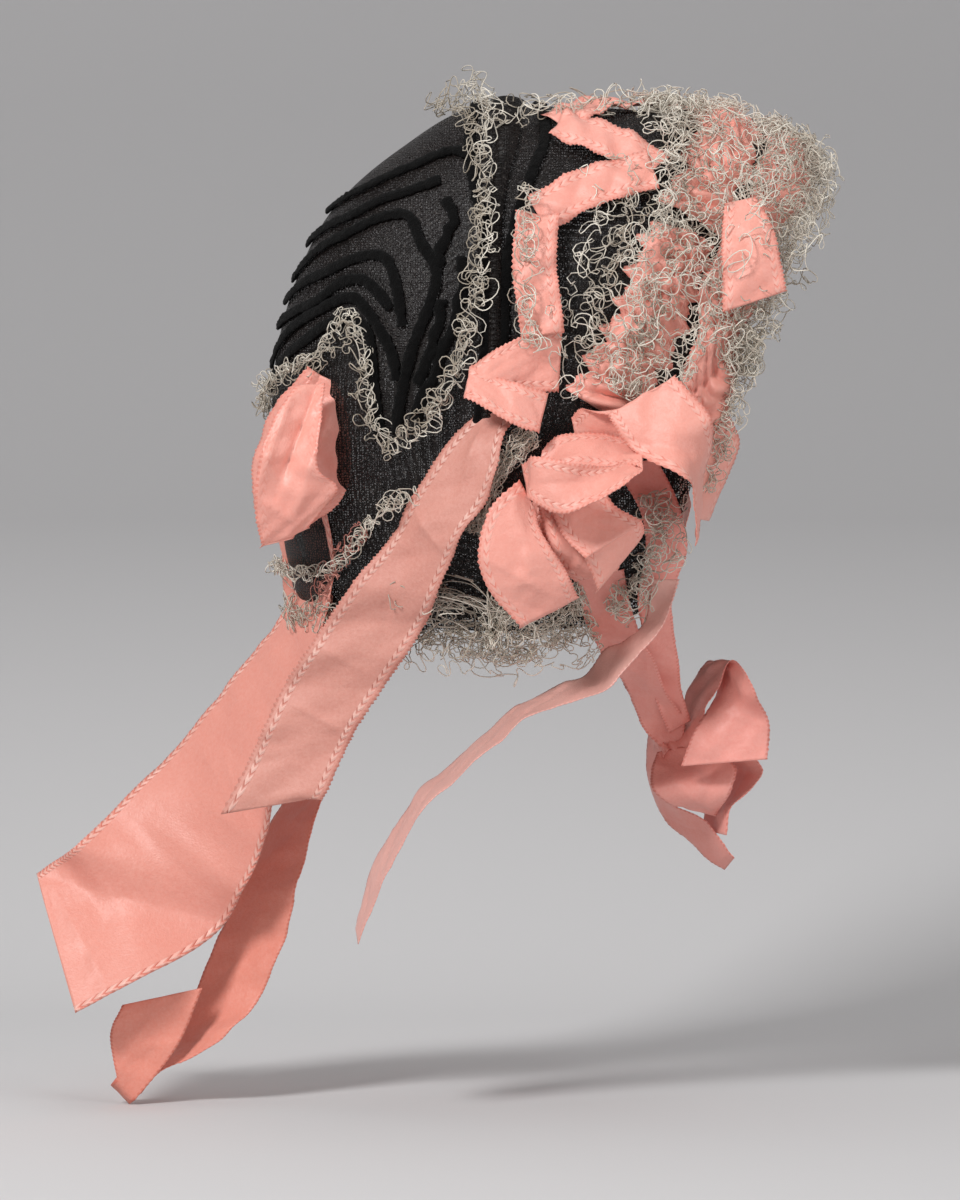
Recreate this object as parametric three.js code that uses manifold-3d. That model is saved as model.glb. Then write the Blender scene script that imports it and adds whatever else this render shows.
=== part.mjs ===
// Historic day cap: a hood of black net with velvet bands, silk ribbon bows and streamers, and rows of crimped thread.
// Millimetres, +Z up, the wearer faces +X. The origin is on the inside of the crown's top, where a head carries it.
import * as THREE from "three";
import { mergeVertices } from "three/addons/utils/BufferGeometryUtils.js";
import Module from "manifold-3d";

const wasm = await Module();
wasm.setup();

// The cap's size
const capLength = 240;
const capHeight = 240;
const capWidth = 168;
const netThickness = 1.2;

// Ribbons and bands
const ribbonWidth = 39;
const broadRibbonWidth = 80;
const ribbonThickness = 1;
const foldGap = 1.6;
const velvetWidth = 6.5;
const velvetThickness = 1;
const stripWidth = 16;
const stripNarrowWidth = 5.5;
const stripThickness = 1;
const stripPuff = 0.8;
const stripLift = 2.2;

const rucheWidth = 16;
const ruchePuff = 1.2;

// Crimped thread rows
const frizzHeight = 7;
const faceFrizzHeight = 24;
const frizzBase = 1.2;

// Room between pieces
const bandClearance = 0.8;
const clearance = 0.3;

const right = -1;
const left = 1;

// Side-view places are counted on squared paper, with 500 squares to the cap's length and to its height:
// x forward from the crown's top, d down from it.
const squares = 500;
const squareX = capLength / squares;
const squareZ = capHeight / squares;
const halfWidth = capWidth / 2;

// Turns a list of rows into objects with the named columns.
function table(columns, rows) {
  const names = columns.split(" ");
  return rows.map((row) => Object.fromEntries(names.map((name, i) => [name, row[i]])));
}

// The value of a column at a place between the rows, along a smooth curve through them.
function valueAt(rows, along, column, place) {
  let i = 0;
  while (i < rows.length - 2 && rows[i + 1][along] <= place) i += 1;
  const here = rows[i];
  const next = rows[i + 1];
  const before = rows[Math.max(0, i - 1)];
  const after = rows[Math.min(rows.length - 1, i + 2)];
  const span = next[along] - here[along];
  const slopeHere = (span * (next[column] - before[column])) / (next[along] - before[along]);
  const slopeNext = (span * (after[column] - here[column])) / (after[along] - here[along]);
  const s = (place - here[along]) / span;
  const risen = s * s * (3 - 2 * s);
  return (
    here[column] * (1 - risen) +
    next[column] * risen +
    slopeHere * s * (1 - s) * (1 - s) -
    slopeNext * s * s * (1 - s)
  );
}

// The cap's form: seen from the side, its outline reaches so far from the middle of the head at each turn,
// as a share of the cap's length; across, each slice is a rounded oval.
const ovalPower = 2.3;
const middle = new THREE.Vector3(-20 * squareX, 0, -290 * squareZ);
const outline = table("turn reach", [
  [0, 0.6],
  [30, 0.69],
  [45, 0.7],
  [62, 0.638],
  [75, 0.6],
  [90, 0.584],
  [103, 0.598],
  [119, 0.573],
  [139, 0.56],
  [156, 0.54],
  [178, 0.534],
  [195, 0.548],
  [212, 0.596],
  [226, 0.65],
  [247, 0.6],
  [270, 0.578],
  [300, 0.593],
  [330, 0.56],
]);
const wrappedOutline = [
  { turn: outline.at(-1).turn - 360, reach: outline.at(-1).reach },
  ...outline,
  { turn: 360, reach: outline[0].reach },
  { turn: outline[1].turn + 360, reach: outline[1].reach },
];

function reachAt(x, z) {
  const turn = ((Math.atan2(z / capHeight, x / capLength) * 180) / Math.PI + 360) % 360;
  return valueAt(wrappedOutline, "turn", "reach", turn);
}

// How far out a point lies: 1 on the cap's form, less inside it.
function outness(point) {
  const x = point.x - middle.x;
  const z = point.z - middle.z;
  const flat = Math.hypot(x / capLength, z / capHeight) / reachAt(x, z);
  const side = Math.abs(point.y) / halfWidth;
  return (flat ** ovalPower + side ** ovalPower) ** (1 / ovalPower);
}

function outward(point) {
  const step = 0.05;
  const away = new THREE.Vector3();
  for (const axis of ["x", "y", "z"]) {
    const far = point.clone();
    const near = point.clone();
    far[axis] += step;
    near[axis] -= step;
    away[axis] = outness(far) - outness(near);
  }
  return away.normalize();
}

// The place on the cap under or over a point, lifted off it.
function onCap(point, lift) {
  const seat = point.clone().sub(middle);
  seat.multiplyScalar(1 / outness(point)).add(middle);
  return lift ? seat.add(outward(seat).multiplyScalar(lift)) : seat;
}

// The place on one side of the cap that the side view shows at x, d.
function seatAt(x, d, side) {
  const point = new THREE.Vector3(x * squareX, 0, -d * squareZ);
  const share = Math.min(1, outness(point));
  point.y = side * halfWidth * (1 - share ** ovalPower) ** (1 / ovalPower);
  return onCap(point, 0);
}

function signedVolume(position, index) {
  const corner = (i) => new THREE.Vector3().fromArray(position, 3 * index[i]);
  let volume = 0;
  for (let i = 0; i < index.length; i += 3) {
    volume += corner(i).dot(corner(i + 1).cross(corner(i + 2))) / 6;
  }
  return volume;
}

function bodyOf(position, index) {
  const faces = signedVolume(position, index) < 0 ? index.reverse() : index;
  const mesh = { numProp: 3, vertProperties: new Float32Array(position), triVerts: new Uint32Array(faces) };
  return new wasm.Manifold(new wasm.Mesh(mesh));
}

// A closed sheet between two grids of points, upper and lower.
function sheetBody(upper, lower) {
  const rows = upper.length;
  const cells = upper[0].length;
  const position = [...upper, ...lower].flat().flatMap((p) => [p.x, p.y, p.z]);
  const index = [];
  const at = (layer, i, k) => (layer * rows + i) * cells + k;
  const quad = (a, b, c, d) => index.push(a, b, c, a, c, d);
  for (let i = 0; i < rows - 1; i += 1) {
    for (let k = 0; k < cells - 1; k += 1) {
      quad(at(0, i, k), at(0, i + 1, k), at(0, i + 1, k + 1), at(0, i, k + 1));
      quad(at(1, i, k), at(1, i, k + 1), at(1, i + 1, k + 1), at(1, i + 1, k));
    }
    quad(at(0, i, 0), at(1, i, 0), at(1, i + 1, 0), at(0, i + 1, 0));
    quad(at(0, i, cells - 1), at(0, i + 1, cells - 1), at(1, i + 1, cells - 1), at(1, i, cells - 1));
  }
  for (let k = 0; k < cells - 1; k += 1) {
    quad(at(0, 0, k), at(0, 0, k + 1), at(1, 0, k + 1), at(1, 0, k));
    quad(at(0, rows - 1, k), at(1, rows - 1, k), at(1, rows - 1, k + 1), at(0, rows - 1, k + 1));
  }
  return bodyOf(position, index);
}

// The whole rounded form of the cap, closed at both sides.
const turnsRound = 40;
const ringsAcross = 12;

function capForm(lift) {
  const position = [];
  const index = [];
  for (let ring = 1; ring < ringsAcross; ring += 1) {
    const sway = -Math.PI / 2 + (Math.PI * ring) / ringsAcross;
    const inShare = Math.cos(sway) ** (2 / ovalPower);
    const outShare = Math.sign(sway) * Math.abs(Math.sin(sway)) ** (2 / ovalPower);
    for (let i = 0; i < turnsRound; i += 1) {
      const turn = (2 * Math.PI * i) / turnsRound;
      const x = Math.cos(turn);
      const z = Math.sin(turn);
      const reach = reachAt(x * capLength, z * capHeight) * inShare;
      const point = new THREE.Vector3(x * reach * capLength, outShare * halfWidth, z * reach * capHeight);
      position.push(...onCap(point.add(middle), lift).toArray());
    }
  }
  const rings = ringsAcross - 1;
  for (const side of [right, left]) position.push(middle.x, side * (halfWidth + lift), middle.z);
  const at = (ring, i) => ring * turnsRound + (i % turnsRound);
  for (let i = 0; i < turnsRound; i += 1) {
    for (let ring = 0; ring < rings - 1; ring += 1) {
      index.push(at(ring, i), at(ring, i + 1), at(ring + 1, i + 1));
      index.push(at(ring, i), at(ring + 1, i + 1), at(ring + 1, i));
    }
    index.push(rings * turnsRound, at(0, i + 1), at(0, i));
    index.push(rings * turnsRound + 1, at(rings - 1, i), at(rings - 1, i + 1));
  }
  return bodyOf(position, index);
}

// A straight-sided block across the cap, from an outline drawn on its side view.
function sideBlock(corners) {
  const shape = new THREE.Shape(corners.map(([x, d]) => new THREE.Vector2(x * squareX, -d * squareZ)));
  const geometry = new THREE.ExtrudeGeometry(shape, { depth: 2 * capWidth, bevelEnabled: false, steps: 1 });
  geometry.translate(0, 0, -capWidth);
  geometry.rotateX(Math.PI / 2);
  geometry.deleteAttribute("normal");
  geometry.deleteAttribute("uv");
  const merged = mergeVertices(geometry, 1e-4);
  return bodyOf([...merged.attributes.position.array], [...merged.index.array]);
}

// A strip that lies on the cap. Its middle passes the route's points, and low and high give its two faces'
// heights over the cap, by the row, the place along and the place across.
function capStrip(route, steps, cells, width, low, high) {
  const curve = new THREE.CatmullRomCurve3(route, false, "centripetal");
  const line = curve.getSpacedPoints(steps).map((point) => onCap(point, 0));
  const upper = [];
  const lower = [];
  line.forEach((point, i) => {
    const ahead = line[Math.min(i + 1, steps)].clone().sub(line[Math.max(i - 1, 0)]);
    const across = outward(point).cross(ahead).normalize();
    const along = i / steps;
    const row = Array.from({ length: cells + 1 }, (unused, k) => k / cells - 0.5);
    const place = (u, lift) => onCap(point.clone().addScaledVector(across, u * width(along)), lift);
    upper.push(row.map((u, k) => place(u, high(i, k, along))));
    lower.push(row.map((u, k) => place(u, low(i, k, along))));
  });
  return sheetBody(upper, lower);
}

// A route over the cap: up the right side, over the middle, and down the left side alike.
function overRoute(places) {
  const rightHalf = places.map(([x, d]) => seatAt(x, d, right));
  const leftHalf = rightHalf.slice(0, -1).map((p) => new THREE.Vector3(p.x, -p.y, p.z));
  const crest = rightHalf.at(-1).clone().setY(0);
  return [...rightHalf.slice(0, -1), onCap(crest, 0), ...leftHalf.reverse()];
}

// A free ribbon. Each row gives its two edges a and b on the side view, its middle's distance from the
// cap's middle plane as a share of the half width, which edge stands further out, how much of its width is
// spread, how far its middle bows out, and whether it is folded there.
const ribbonColumns = "ax ad bx bd y lean draw bow fold";

function ribbonSections(rows, width, side) {
  return rows.map((row) => {
    const seen = new THREE.Vector3((row.bx - row.ax) * squareX, 0, -(row.bd - row.ad) * squareZ);
    const spread = width * (row.draw ?? 1);
    const flat = row.lean ? Math.min(seen.length(), spread) : spread;
    const deep = Math.sqrt(spread * spread - flat * flat) * (row.lean ?? 0);
    const across = seen.setLength(flat).setY(side * deep);
    const x = ((row.ax + row.bx) / 2) * squareX;
    const z = (-(row.ad + row.bd) / 2) * squareZ;
    const mid = new THREE.Vector3(x, side * row.y * halfWidth, z);
    return { mid, across, bow: row.bow ?? 0, fold: row.fold ?? 0 };
  });
}

// Splits the sections where the ribbon is folded, with a small bend between the two legs.
function ribbonLegs(sections) {
  const legs = [[]];
  sections.forEach((section, i) => {
    if (!section.fold) {
      legs.at(-1).push(section);
      return;
    }
    const before = sections[i - 1].mid;
    const after = sections[i + 1].mid;
    const layer = Math.sign(after.y - before.y) * (foldGap / 2);
    const shifted = (dy) => ({ ...section, mid: section.mid.clone().setY(section.mid.y + dy) });
    const out = section.mid.clone().sub(before).setY(0).setLength(foldGap / 2);
    legs.at(-1).push(shifted(-layer));
    legs.push([{ ...section, mid: section.mid.clone().add(out) }], [shifted(layer)]);
  });
  return legs;
}

const columnsOf = (section) => [...section.mid.toArray(), ...section.across.toArray(), section.bow];

function sampleLeg(leg, stepLength) {
  if (leg.length === 1) return leg;
  let length = 0;
  const rows = leg.map((section, i) => {
    if (i > 0) length += Math.max(1, section.mid.distanceTo(leg[i - 1].mid));
    return { ...columnsOf(section), length };
  });
  const steps = Math.max(2, Math.round(length / stepLength));
  return Array.from({ length: steps + 1 }, (unused, i) => {
    const values = [0, 1, 2, 3, 4, 5, 6].map((c) => valueAt(rows, "length", c, (length * i) / steps));
    return {
      mid: new THREE.Vector3(...values.slice(0, 3)),
      across: new THREE.Vector3(...values.slice(3, 6)),
      bow: values[6],
    };
  });
}

function ribbonBody(rows, side, options, grow) {
  const { width = ribbonWidth, stepLength = 15, cells = 2 } = options;
  const legs = ribbonLegs(ribbonSections(rows, width, side));
  const samples = legs.flatMap((leg) => sampleLeg(leg, stepLength));
  const half = ribbonThickness / 2 + grow;
  const upper = [];
  const lower = [];
  samples.forEach(({ mid, across, bow }, i) => {
    const ahead = samples[Math.min(i + 1, samples.length - 1)].mid.clone().sub(samples[Math.max(i - 1, 0)].mid);
    const facing = ahead.cross(across).normalize();
    const wide = 1 + (2 * grow) / across.length();
    const row = Array.from({ length: cells + 1 }, (unused, k) => k / cells - 0.5);
    const place = (u, lift) => {
      const rise = bow * across.length() * (1 - 4 * u * u) + lift;
      return mid.clone().addScaledVector(across, u * wide).addScaledVector(facing, rise);
    };
    upper.push(row.map((u) => place(u, half)));
    lower.push(row.map((u) => place(u, -half)));
  });
  return sheetBody(upper, lower);
}

// A rounded knot
function knotBody(place, size, grow) {
  const geometry = new THREE.SphereGeometry(0.5, 10, 7);
  geometry.scale(...size.map((s) => s + 2 * grow));
  geometry.translate(...place.toArray());
  geometry.deleteAttribute("normal");
  geometry.deleteAttribute("uv");
  const merged = mergeVertices(geometry, 1e-4);
  return bodyOf([...merged.attributes.position.array], [...merged.index.array]);
}

// Finishes: colour, roughness
const finishes = {
  net: { color: "#231f20", roughness: 0.85, metalness: 0 },
  velvet: { color: "#151515", roughness: 0.95, metalness: 0 },
  silk: { color: "#eda597", roughness: 0.45, metalness: 0 },
  shadedSilk: { color: "#d38a84", roughness: 0.45, metalness: 0 },
  thread: { color: "#e6d9c0", roughness: 0.8, metalness: 0 },
};

const pieces = [];
const piece = (name, finish, make) => pieces.push({ name, finish, make });

// The net hood, behind and before the front velvet band's line
const frontEdge = [
  [240, 40],
  [232, 80],
  [205, 120],
  [178, 180],
  [162, 240],
  [145, 310],
  [120, 390],
  [95, 460],
  [80, 495],
];
const lowerEdgeFront = [
  [40, 508],
  [-40, 516],
];
const lowerEdgeBack = [
  [-130, 512],
  [-210, 538],
  [-258, 535],
];
const parting = [
  [-20, 3],
  [-18, 34],
  [-27, 57],
  [-43, 101],
  [-53, 148],
  [-55, 225],
  [-58, 330],
  [-60, 518],
];
const aboveFront = [
  [-20, -60],
  [300, -60],
  [300, 40],
];
const behindBack = [
  [-360, 535],
  [-360, -60],
  [-20, -60],
];

function hoodBody(corners, grow) {
  const shell = capForm(grow).subtract(capForm(-netThickness - grow));
  return shell.intersect(sideBlock(corners));
}

const partingGap = clearance / squareX;
const frontParting = parting.map(([x, d]) => [x + partingGap, d]).reverse();
piece("net_crown", "net", (grow) => hoodBody([...behindBack, ...parting, ...lowerEdgeBack], grow));
piece("front_band", "net", (grow) =>
  hoodBody([...aboveFront, ...frontEdge, ...lowerEdgeFront, ...frontParting], grow),
);

// Velvet bands over the crown, each from the right side over the back to the left
const chevrons = {
  upper_back_band: [[-90, 50], [-106, 45], [-148, 60], [-195, 83], [-223, 106]],
  second_back_band: [[-118, 73], [-160, 87], [-207, 108], [-244, 139]],
  first_chevron: [[-162, 318], [-146, 244], [-125, 167], [-139, 134], [-149, 109], [-169, 109], [-218, 132], [-263, 169]],
  second_chevron: [[-154, 215], [-162, 174], [-173, 150], [-195, 149], [-239, 167], [-268, 192]],
  third_chevron: [[-169, 200], [-180, 178], [-192, 167], [-211, 170], [-246, 195], [-274, 216]],
  fourth_chevron: [[-161, 268], [-167, 237], [-188, 202], [-205, 188], [-242, 203], [-274, 230], [-284, 254]],
  fifth_chevron: [[-176, 325], [-186, 260], [-195, 217], [-228, 213], [-249, 227], [-272, 248], [-287, 280]],
};
const sideBands = {
  short_side_band: [[-113, 92], [-106, 111], [-113, 129], [-122, 158]],
  first_side_band: [[-118, 190], [-120, 213], [-127, 237], [-140, 272]],
  second_side_band: [[-99, 148], [-97, 185], [-113, 237], [-127, 267], [-143, 305]],
};
const edgeVelvets = {
  crown_edge_velvet: [[-86, 350], [-74, 240], [-76, 111], [-83, 92], [-90, 42], [-84, 1], [-84, -4]],
  front_velvet: [[-64, 350], [-57, 225], [-53, 148], [-43, 101], [-27, 57], [-18, 34], [-20, 3], [-20, -4]],
};

function velvetBody(route, grow) {
  const curve = new THREE.CatmullRomCurve3(route, false, "centripetal");
  const steps = Math.max(3, Math.round(curve.getLength() / 13));
  const width = () => velvetWidth + 2 * grow;
  const low = () => bandClearance - grow;
  const high = () => bandClearance + velvetThickness + grow;
  return capStrip(route, steps, 1, width, low, high);
}

for (const [name, places] of Object.entries({ ...edgeVelvets, ...chevrons })) {
  piece(name, "velvet", (grow) => velvetBody(overRoute(places), grow));
}
for (const [name, places] of Object.entries(sideBands)) {
  for (const [sideName, side] of [["right", right], ["left", left]]) {
    const route = places.map(([x, d]) => seatAt(x, d, side));
    piece(`${sideName}_${name}`, "velvet", (grow) => velvetBody(route, grow));
  }
}

// The gathered net strip over the crown, between its two edge bands
const stripPlaces = [[-76, 330], [-66, 240], [-64, 111], [-60, 72], [-54, 40], [-52, 8], [-52, -4]];
piece("gathered_strip", "net", (grow) => {
  const low = () => stripLift - grow;
  const high = (i, k) => stripLift + stripThickness + (k % 2 === 1 ? stripPuff : 0) + grow;
  const topShare = (along) => Math.max(0, 1 - Math.abs(along - 0.5) / 0.2);
  const width = (along) => stripNarrowWidth + (stripWidth - stripNarrowWidth) * topShare(along) + 2 * grow;
  return capStrip(overRoute(stripPlaces), 20, 2, width, low, high);
});

// Free ribbons: bows, streamers and ties
const ribbons = {
  forehead_end: table(ribbonColumns, [
    [158, 96, 186, 90, 0.96, -1, 0.7],
    [153, 134, 203, 126, 1.1, -1, 0.85],
    [154, 160, 211, 154, 1.15, -1, 0.9],
    [157, 201, 215, 180, 1.14, -1, 0.9],
  ]),
  flap: table(ribbonColumns, [
    [0, 215, -4, 262, 1.03, 1, 0.55],
    [-38, 225, -44, 270, 1.08, 1, 0.55],
    [-66, 239, -73, 274, 1.12, 1, 0.5],
    [-88, 254, -95, 282, 1.15, 1, 0.45, 0, 1],
    [-62, 264, -68, 298, 1.2, 1, 0.5],
    [-38, 272, -45, 309, 1.23, 1, 0.5],
    [-14, 280, -23, 317, 1.18, 1, 0.5],
  ]),
  cheek_loop: table(ribbonColumns, [
    [10, 310, 14, 330, 1.05, 0, 0.4],
    [28, 300, 60, 318, 1.12, 0, 0.7],
    [44, 300, 108, 264, 1.22, 0, 0.9, 0, 1],
    [70, 330, 137, 305, 1.3, 0, 1, 0.06],
    [102, 355, 140, 330, 1.3, -1, 0.9, 0.05],
    [119, 370, 132, 360, 1.24, -1, 0.8],
    [122, 426, 126, 424, 1.14, -1, 0.6],
  ]),
  upper_loop: table(ribbonColumns, [
    [-20, 336, -24, 360, 1.12, 0, 0.3],
    [-3, 320, 0, 352, 1.17, 1, 0.5],
    [40, 320, 44, 350, 1.2, 1, 0.55],
    [76, 330, 76, 352, 1.35, 1, 0.6],
    [44, 349, 40, 374, 1.5, 1, 0.6],
    [11, 351, 1, 388, 1.54, 0, 0.6],
    [-26, 345, -32, 374, 1.46, 0, 0.5],
    [-38, 357, -36, 368, 1.3, 0, 0.35],
  ]),
  lower_loop: table(ribbonColumns, [
    [-40, 366, -28, 388, 1.3, 0, 0.4],
    [-67, 390, -26, 406, 1.36, 0, 0.6],
    [-80, 432, -9, 434, 1.38, 0, 0.9, 0.06],
    [-72, 465, 3, 451, 1.34, 0, 0.95, 0.06],
    [-43, 499, 12, 473, 1.25, 0, 0.75, 0, 1],
    [-66, 462, -4, 448, 1.15, 0, 0.8],
    [-60, 425, -16, 425, 1.14, 0, 0.6],
    [-40, 385, -22, 385, 1.12, 0, 0.4],
  ]),
  inner_end: table(ribbonColumns, [
    [-20, 362, 6, 356, 1.16, 0, 0.4],
    [3, 414, 48, 390, 1.3, 0, 0.7],
    [22, 436, 74, 402, 1.34, 0, 0.8, 0, 1],
    [36, 461, 74, 420, 1.24, 0, 0.8],
    [34, 470, 56, 444, 1.2, 0, 0.5],
  ]),
  temple_loop: table(ribbonColumns, [
    [130, 282, 149, 286, 0.92, -1, 0.7],
    [128, 330, 173, 325, 0.91, -1, 0.8],
    [128, 368, 160, 367, 0.88, -1, 0.8],
    [130, 402, 144, 406, 0.84, -1, 0.7],
  ]),
};

const backBow = {
  back_bow_outer_petal: table(ribbonColumns, [
    [-244, 258, -238, 262, 0.66, 0, 0.2],
    [-284, 298, -248, 302, 0.64, 1, 0.7],
    [-301, 340, -255, 348, 0.58, 1, 0.85],
    [-304, 372, -258, 388, 0.56, 1, 0.85],
    [-301, 405, -258, 414, 0.58, 1, 0.8],
    [-294, 432, -264, 424, 0.6, 1, 0.5],
  ]),
  back_bow_front_petal: table(ribbonColumns, [
    [-238, 262, -226, 268, 0.7, 0, 0.3],
    [-262, 300, -213, 298, 0.72, 0, 0.65],
    [-268, 345, -211, 350, 0.72, 0, 0.8],
    [-272, 385, -222, 386, 0.76, 0, 0.75],
    [-290, 428, -250, 410, 0.84, 0, 0.6, 0, 1],
    [-298, 392, -219, 374, 0.94, 0, 1],
    [-290, 350, -242, 352, 0.98, 0, 0.7, 0.08],
    [-275, 305, -239, 305, 0.94, 0, 0.55, 0.08],
    [-250, 272, -238, 270, 0.84, 0, 0.3],
  ]),
};

const streamers = {
  side_streamer: table(ribbonColumns, [
    [-70, 275, -40, 295, 1.0, 0, 0.5],
    [-85, 298, -55, 316, 1.06, 1, 0.55],
    [-106, 324, -65, 353, 1.1, 1, 0.8],
    [-128, 353, -75, 383, 1.09, 1, 0.9],
    [-147, 383, -96, 414, 1.05, 1, 0.9],
    [-164, 415, -111, 442, 0.99, 1, 0.9],
    [-198, 459, -132, 500, 0.93, 0, 0.97],
    [-218, 490, -148, 526, 0.88, 0, 1],
    [-245, 531, -177, 568, 0.84, 0, 1],
    [-271, 570, -202, 607, 0.81, 0, 1],
    [-291, 613, -218, 638, 0.79, 0, 1],
    [-308, 654, -238, 677, 0.77, 0, 1],
    [-334, 695, -242, 680, 0.75, 0, 1.15],
  ]),
  narrow_back_streamer: table(ribbonColumns, [
    [-302, 424, -286, 428, 0.2, 1, 0.5],
    [-296, 500, -268, 508, 0.08, 1, 0.8],
    [-282, 562, -242, 566, 0.04, 1, 1],
    [-272, 610, -230, 610, 0.02, 1, 1],
    [-277, 690, -237, 685, 0, 1, 1],
    [-306, 746, -254, 739, 0, 1, 1],
    [-335, 811, -272, 815, 0, 1, 1],
    [-364, 882, -297, 880, 0, 1, 1],
    [-397, 951, -339, 936, 0.02, 1, 1],
    [-440, 967, -422, 985, 0.1, 0, 0.8, 0, 1],
    [-446, 918, -395, 905, 0.16, 0, 0.8],
    [-444, 898, -377, 877, 0.18, 0, 0.85],
  ]),
  cheek_streamer: table(ribbonColumns, [
    [88, 462, 112, 462, 0.85, 0, 0.35],
    [84, 500, 104, 492, 0.84, 1, 0.4],
    [60, 524, 80, 530, 0.83, 1, 0.5],
    [42, 534, 59, 552, 0.82, 1, 0.6],
    [22, 559, 39, 571, 0.8, 1, 0.8],
    [-14, 574, -14, 586, 0.78, 1, 1],
    [-50, 595, -48, 606, 0.77, 1, 1],
    [-84, 625, -77, 632, 0.76, 1, 1],
    [-116, 654, -109, 660, 0.75, 1, 1],
    [-140, 673, -133, 683, 0.75, 1, 1],
    [-157, 700, -149, 705, 0.74, 1, 1],
    [-172, 724, -160, 728, 0.73, 1, 1],
    [-188, 751, -172, 751, 0.72, 1, 1],
    [-193, 772, -181, 772, 0.71, 1, 1],
    [-203, 811, -199, 818, 0.7, 1, 1],
  ]),
};
const broadStreamer = table(ribbonColumns, [
  [-266, 405, -240, 395, 0.56, 1, 0.4],
  [-261, 450, -229, 450, 0.47, 1, 0.45],
  [-283, 503, -238, 510, 0.36, 1, 0.55],
  [-320, 552, -255, 580, 0.28, 1, 0.7],
  [-360, 605, -275, 640, 0.23, 1, 0.85],
  [-397, 650, -285, 690, 0.2, 1, 1],
  [-428, 679, -298, 740, 0.18, 1, 1],
  [-455, 708, -315, 775, 0.16, 1, 1],
  [-484, 735, -339, 817, 0.14, 1, 1],
  [-505, 753, -405, 865, 0.12, 1, 1],
  [-524, 768, -469, 907, 0.1, 1, 1],
]);

const rightStrap = table(ribbonColumns, [
  [14, 462, 60, 452, 0.87, 0, 0.58],
  [22, 500, 66, 486, 0.775, 0, 0.57],
  [36, 532, 79, 522, 0.68, 1, 0.6],
  [54, 556, 92, 546, 0.55, 1, 0.6],
  [72, 589, 104, 578, 0.37, 1, 0.6],
  [90, 616, 117, 608, 0.2, 0, 0.5],
  [106, 636, 120, 628, 0.12, 0, 0.3],
]);
const cheekTie = table(ribbonColumns, [
  [50, 350, 92, 344, 0.968, -1, 0.529],
  [77, 397, 114, 390, 0.9, -1, 0.472],
  [82, 436, 122, 434, 0.832, -1, 0.518],
  [74, 478, 108, 476, 0.76, -1, 0.44],
  [84, 512, 104, 500, 0.68, 0, 0.4],
  [93, 550, 107, 543, 0.5, 0, 0.4],
  [103, 590, 114, 583, 0.32, 0, 0.35],
  [114, 618, 124, 612, 0.18, 0, 0.3],
]);
const chinBow = {
  chin_upper_loop: table(ribbonColumns, [
    [111, 640, 124, 638, 0.12, 0, 0.3],
    [119, 612, 140, 606, 0.16, 1, 0.7],
    [130, 578, 154, 574, 0.2, 1, 0.85],
    [146, 551, 168, 547, 0.28, 1, 0.8],
    [156, 556, 181, 554, 0.38, 1, 0.85],
    [154, 582, 189, 576, 0.44, 1, 0.95],
    [140, 614, 197, 606, 0.46, 0, 0.9],
    [120, 650, 202, 643, 0.46, 0, 1.05],
  ]),
  chin_lower_loop: table(ribbonColumns, [
    [100, 640, 118, 636, 0.14, 0, 0.3],
    [90, 660, 172, 650, 0.24, 0, 1],
    [94, 676, 168, 674, 0.34, 0, 0.95, 0.06],
    [114, 694, 158, 694, 0.3, 0, 0.6, 0.08],
    [134, 704, 150, 709, 0.16, 0, 0.3],
  ]),
  chin_tail: table(ribbonColumns, [
    [150, 646, 190, 640, 0.2, 1, 0.8],
    [168, 656, 201, 658, 0.16, 1, 0.8],
    [158, 684, 184, 680, 0.12, 1, 0.8],
    [146, 708, 168, 696, 0.1, 1, 0.8],
    [146, 722, 165, 722, 0.1, 1, 0.7],
  ]),
  chin_back_loop: table(ribbonColumns, [
    [88, 616, 108, 636, 0.06, 1, 0.7],
    [88, 646, 104, 654, 0, 1, 0.7],
    [91, 680, 106, 680, -0.04, 1, 0.7],
    [106, 712, 120, 696, -0.04, 1, 0.7],
    [132, 736, 146, 712, 0, 1, 0.7],
    [150, 752, 162, 730, 0.02, 1, 0.6],
    [166, 762, 174, 747, 0.02, 1, 0.5],
  ]),
};

const sideKnotSize = [20, 16, 14];
const chinKnotSize = [20, 26, 18];
const chinKnotPlace = new THREE.Vector3(114 * squareX, 0, -638 * squareZ);
for (const [sideName, side] of [["right", right], ["left", left]]) {
  const place = onCap(seatAt(-12, 352, side), sideKnotSize[1] / 2 + clearance);
  piece(`${sideName}_bow_knot`, "shadedSilk", (grow) => knotBody(place, sideKnotSize, grow));
}
piece("chin_knot", "shadedSilk", (grow) => knotBody(chinKnotPlace, chinKnotSize, grow));

for (const [name, rows] of Object.entries(ribbons)) {
  piece(`right_${name}`, "silk", (grow) => ribbonBody(rows, right, {}, grow));
}
for (const name of ["flap", "cheek_loop", "upper_loop", "lower_loop"]) {
  piece(`left_${name}`, "silk", (grow) => ribbonBody(ribbons[name], left, { stepLength: 18 }, grow));
}
for (const [name, rows] of Object.entries({ ...backBow, ...streamers })) {
  piece(name, "silk", (grow) => ribbonBody(rows, right, { stepLength: 20 }, grow));
}
piece("broad_streamer", "silk", (grow) =>
  ribbonBody(broadStreamer, right, { width: broadRibbonWidth, stepLength: 24, cells: 4 }, grow),
);
piece("right_chin_strap", "shadedSilk", (grow) => ribbonBody(rightStrap, right, {}, grow));
piece("left_chin_strap", "shadedSilk", (grow) => ribbonBody(rightStrap, left, {}, grow));
piece("right_cheek_tie", "shadedSilk", (grow) => ribbonBody(cheekTie, right, {}, grow));
for (const [name, rows] of Object.entries(chinBow)) {
  piece(name, "shadedSilk", (grow) => ribbonBody(rows, right, {}, grow));
}

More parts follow.
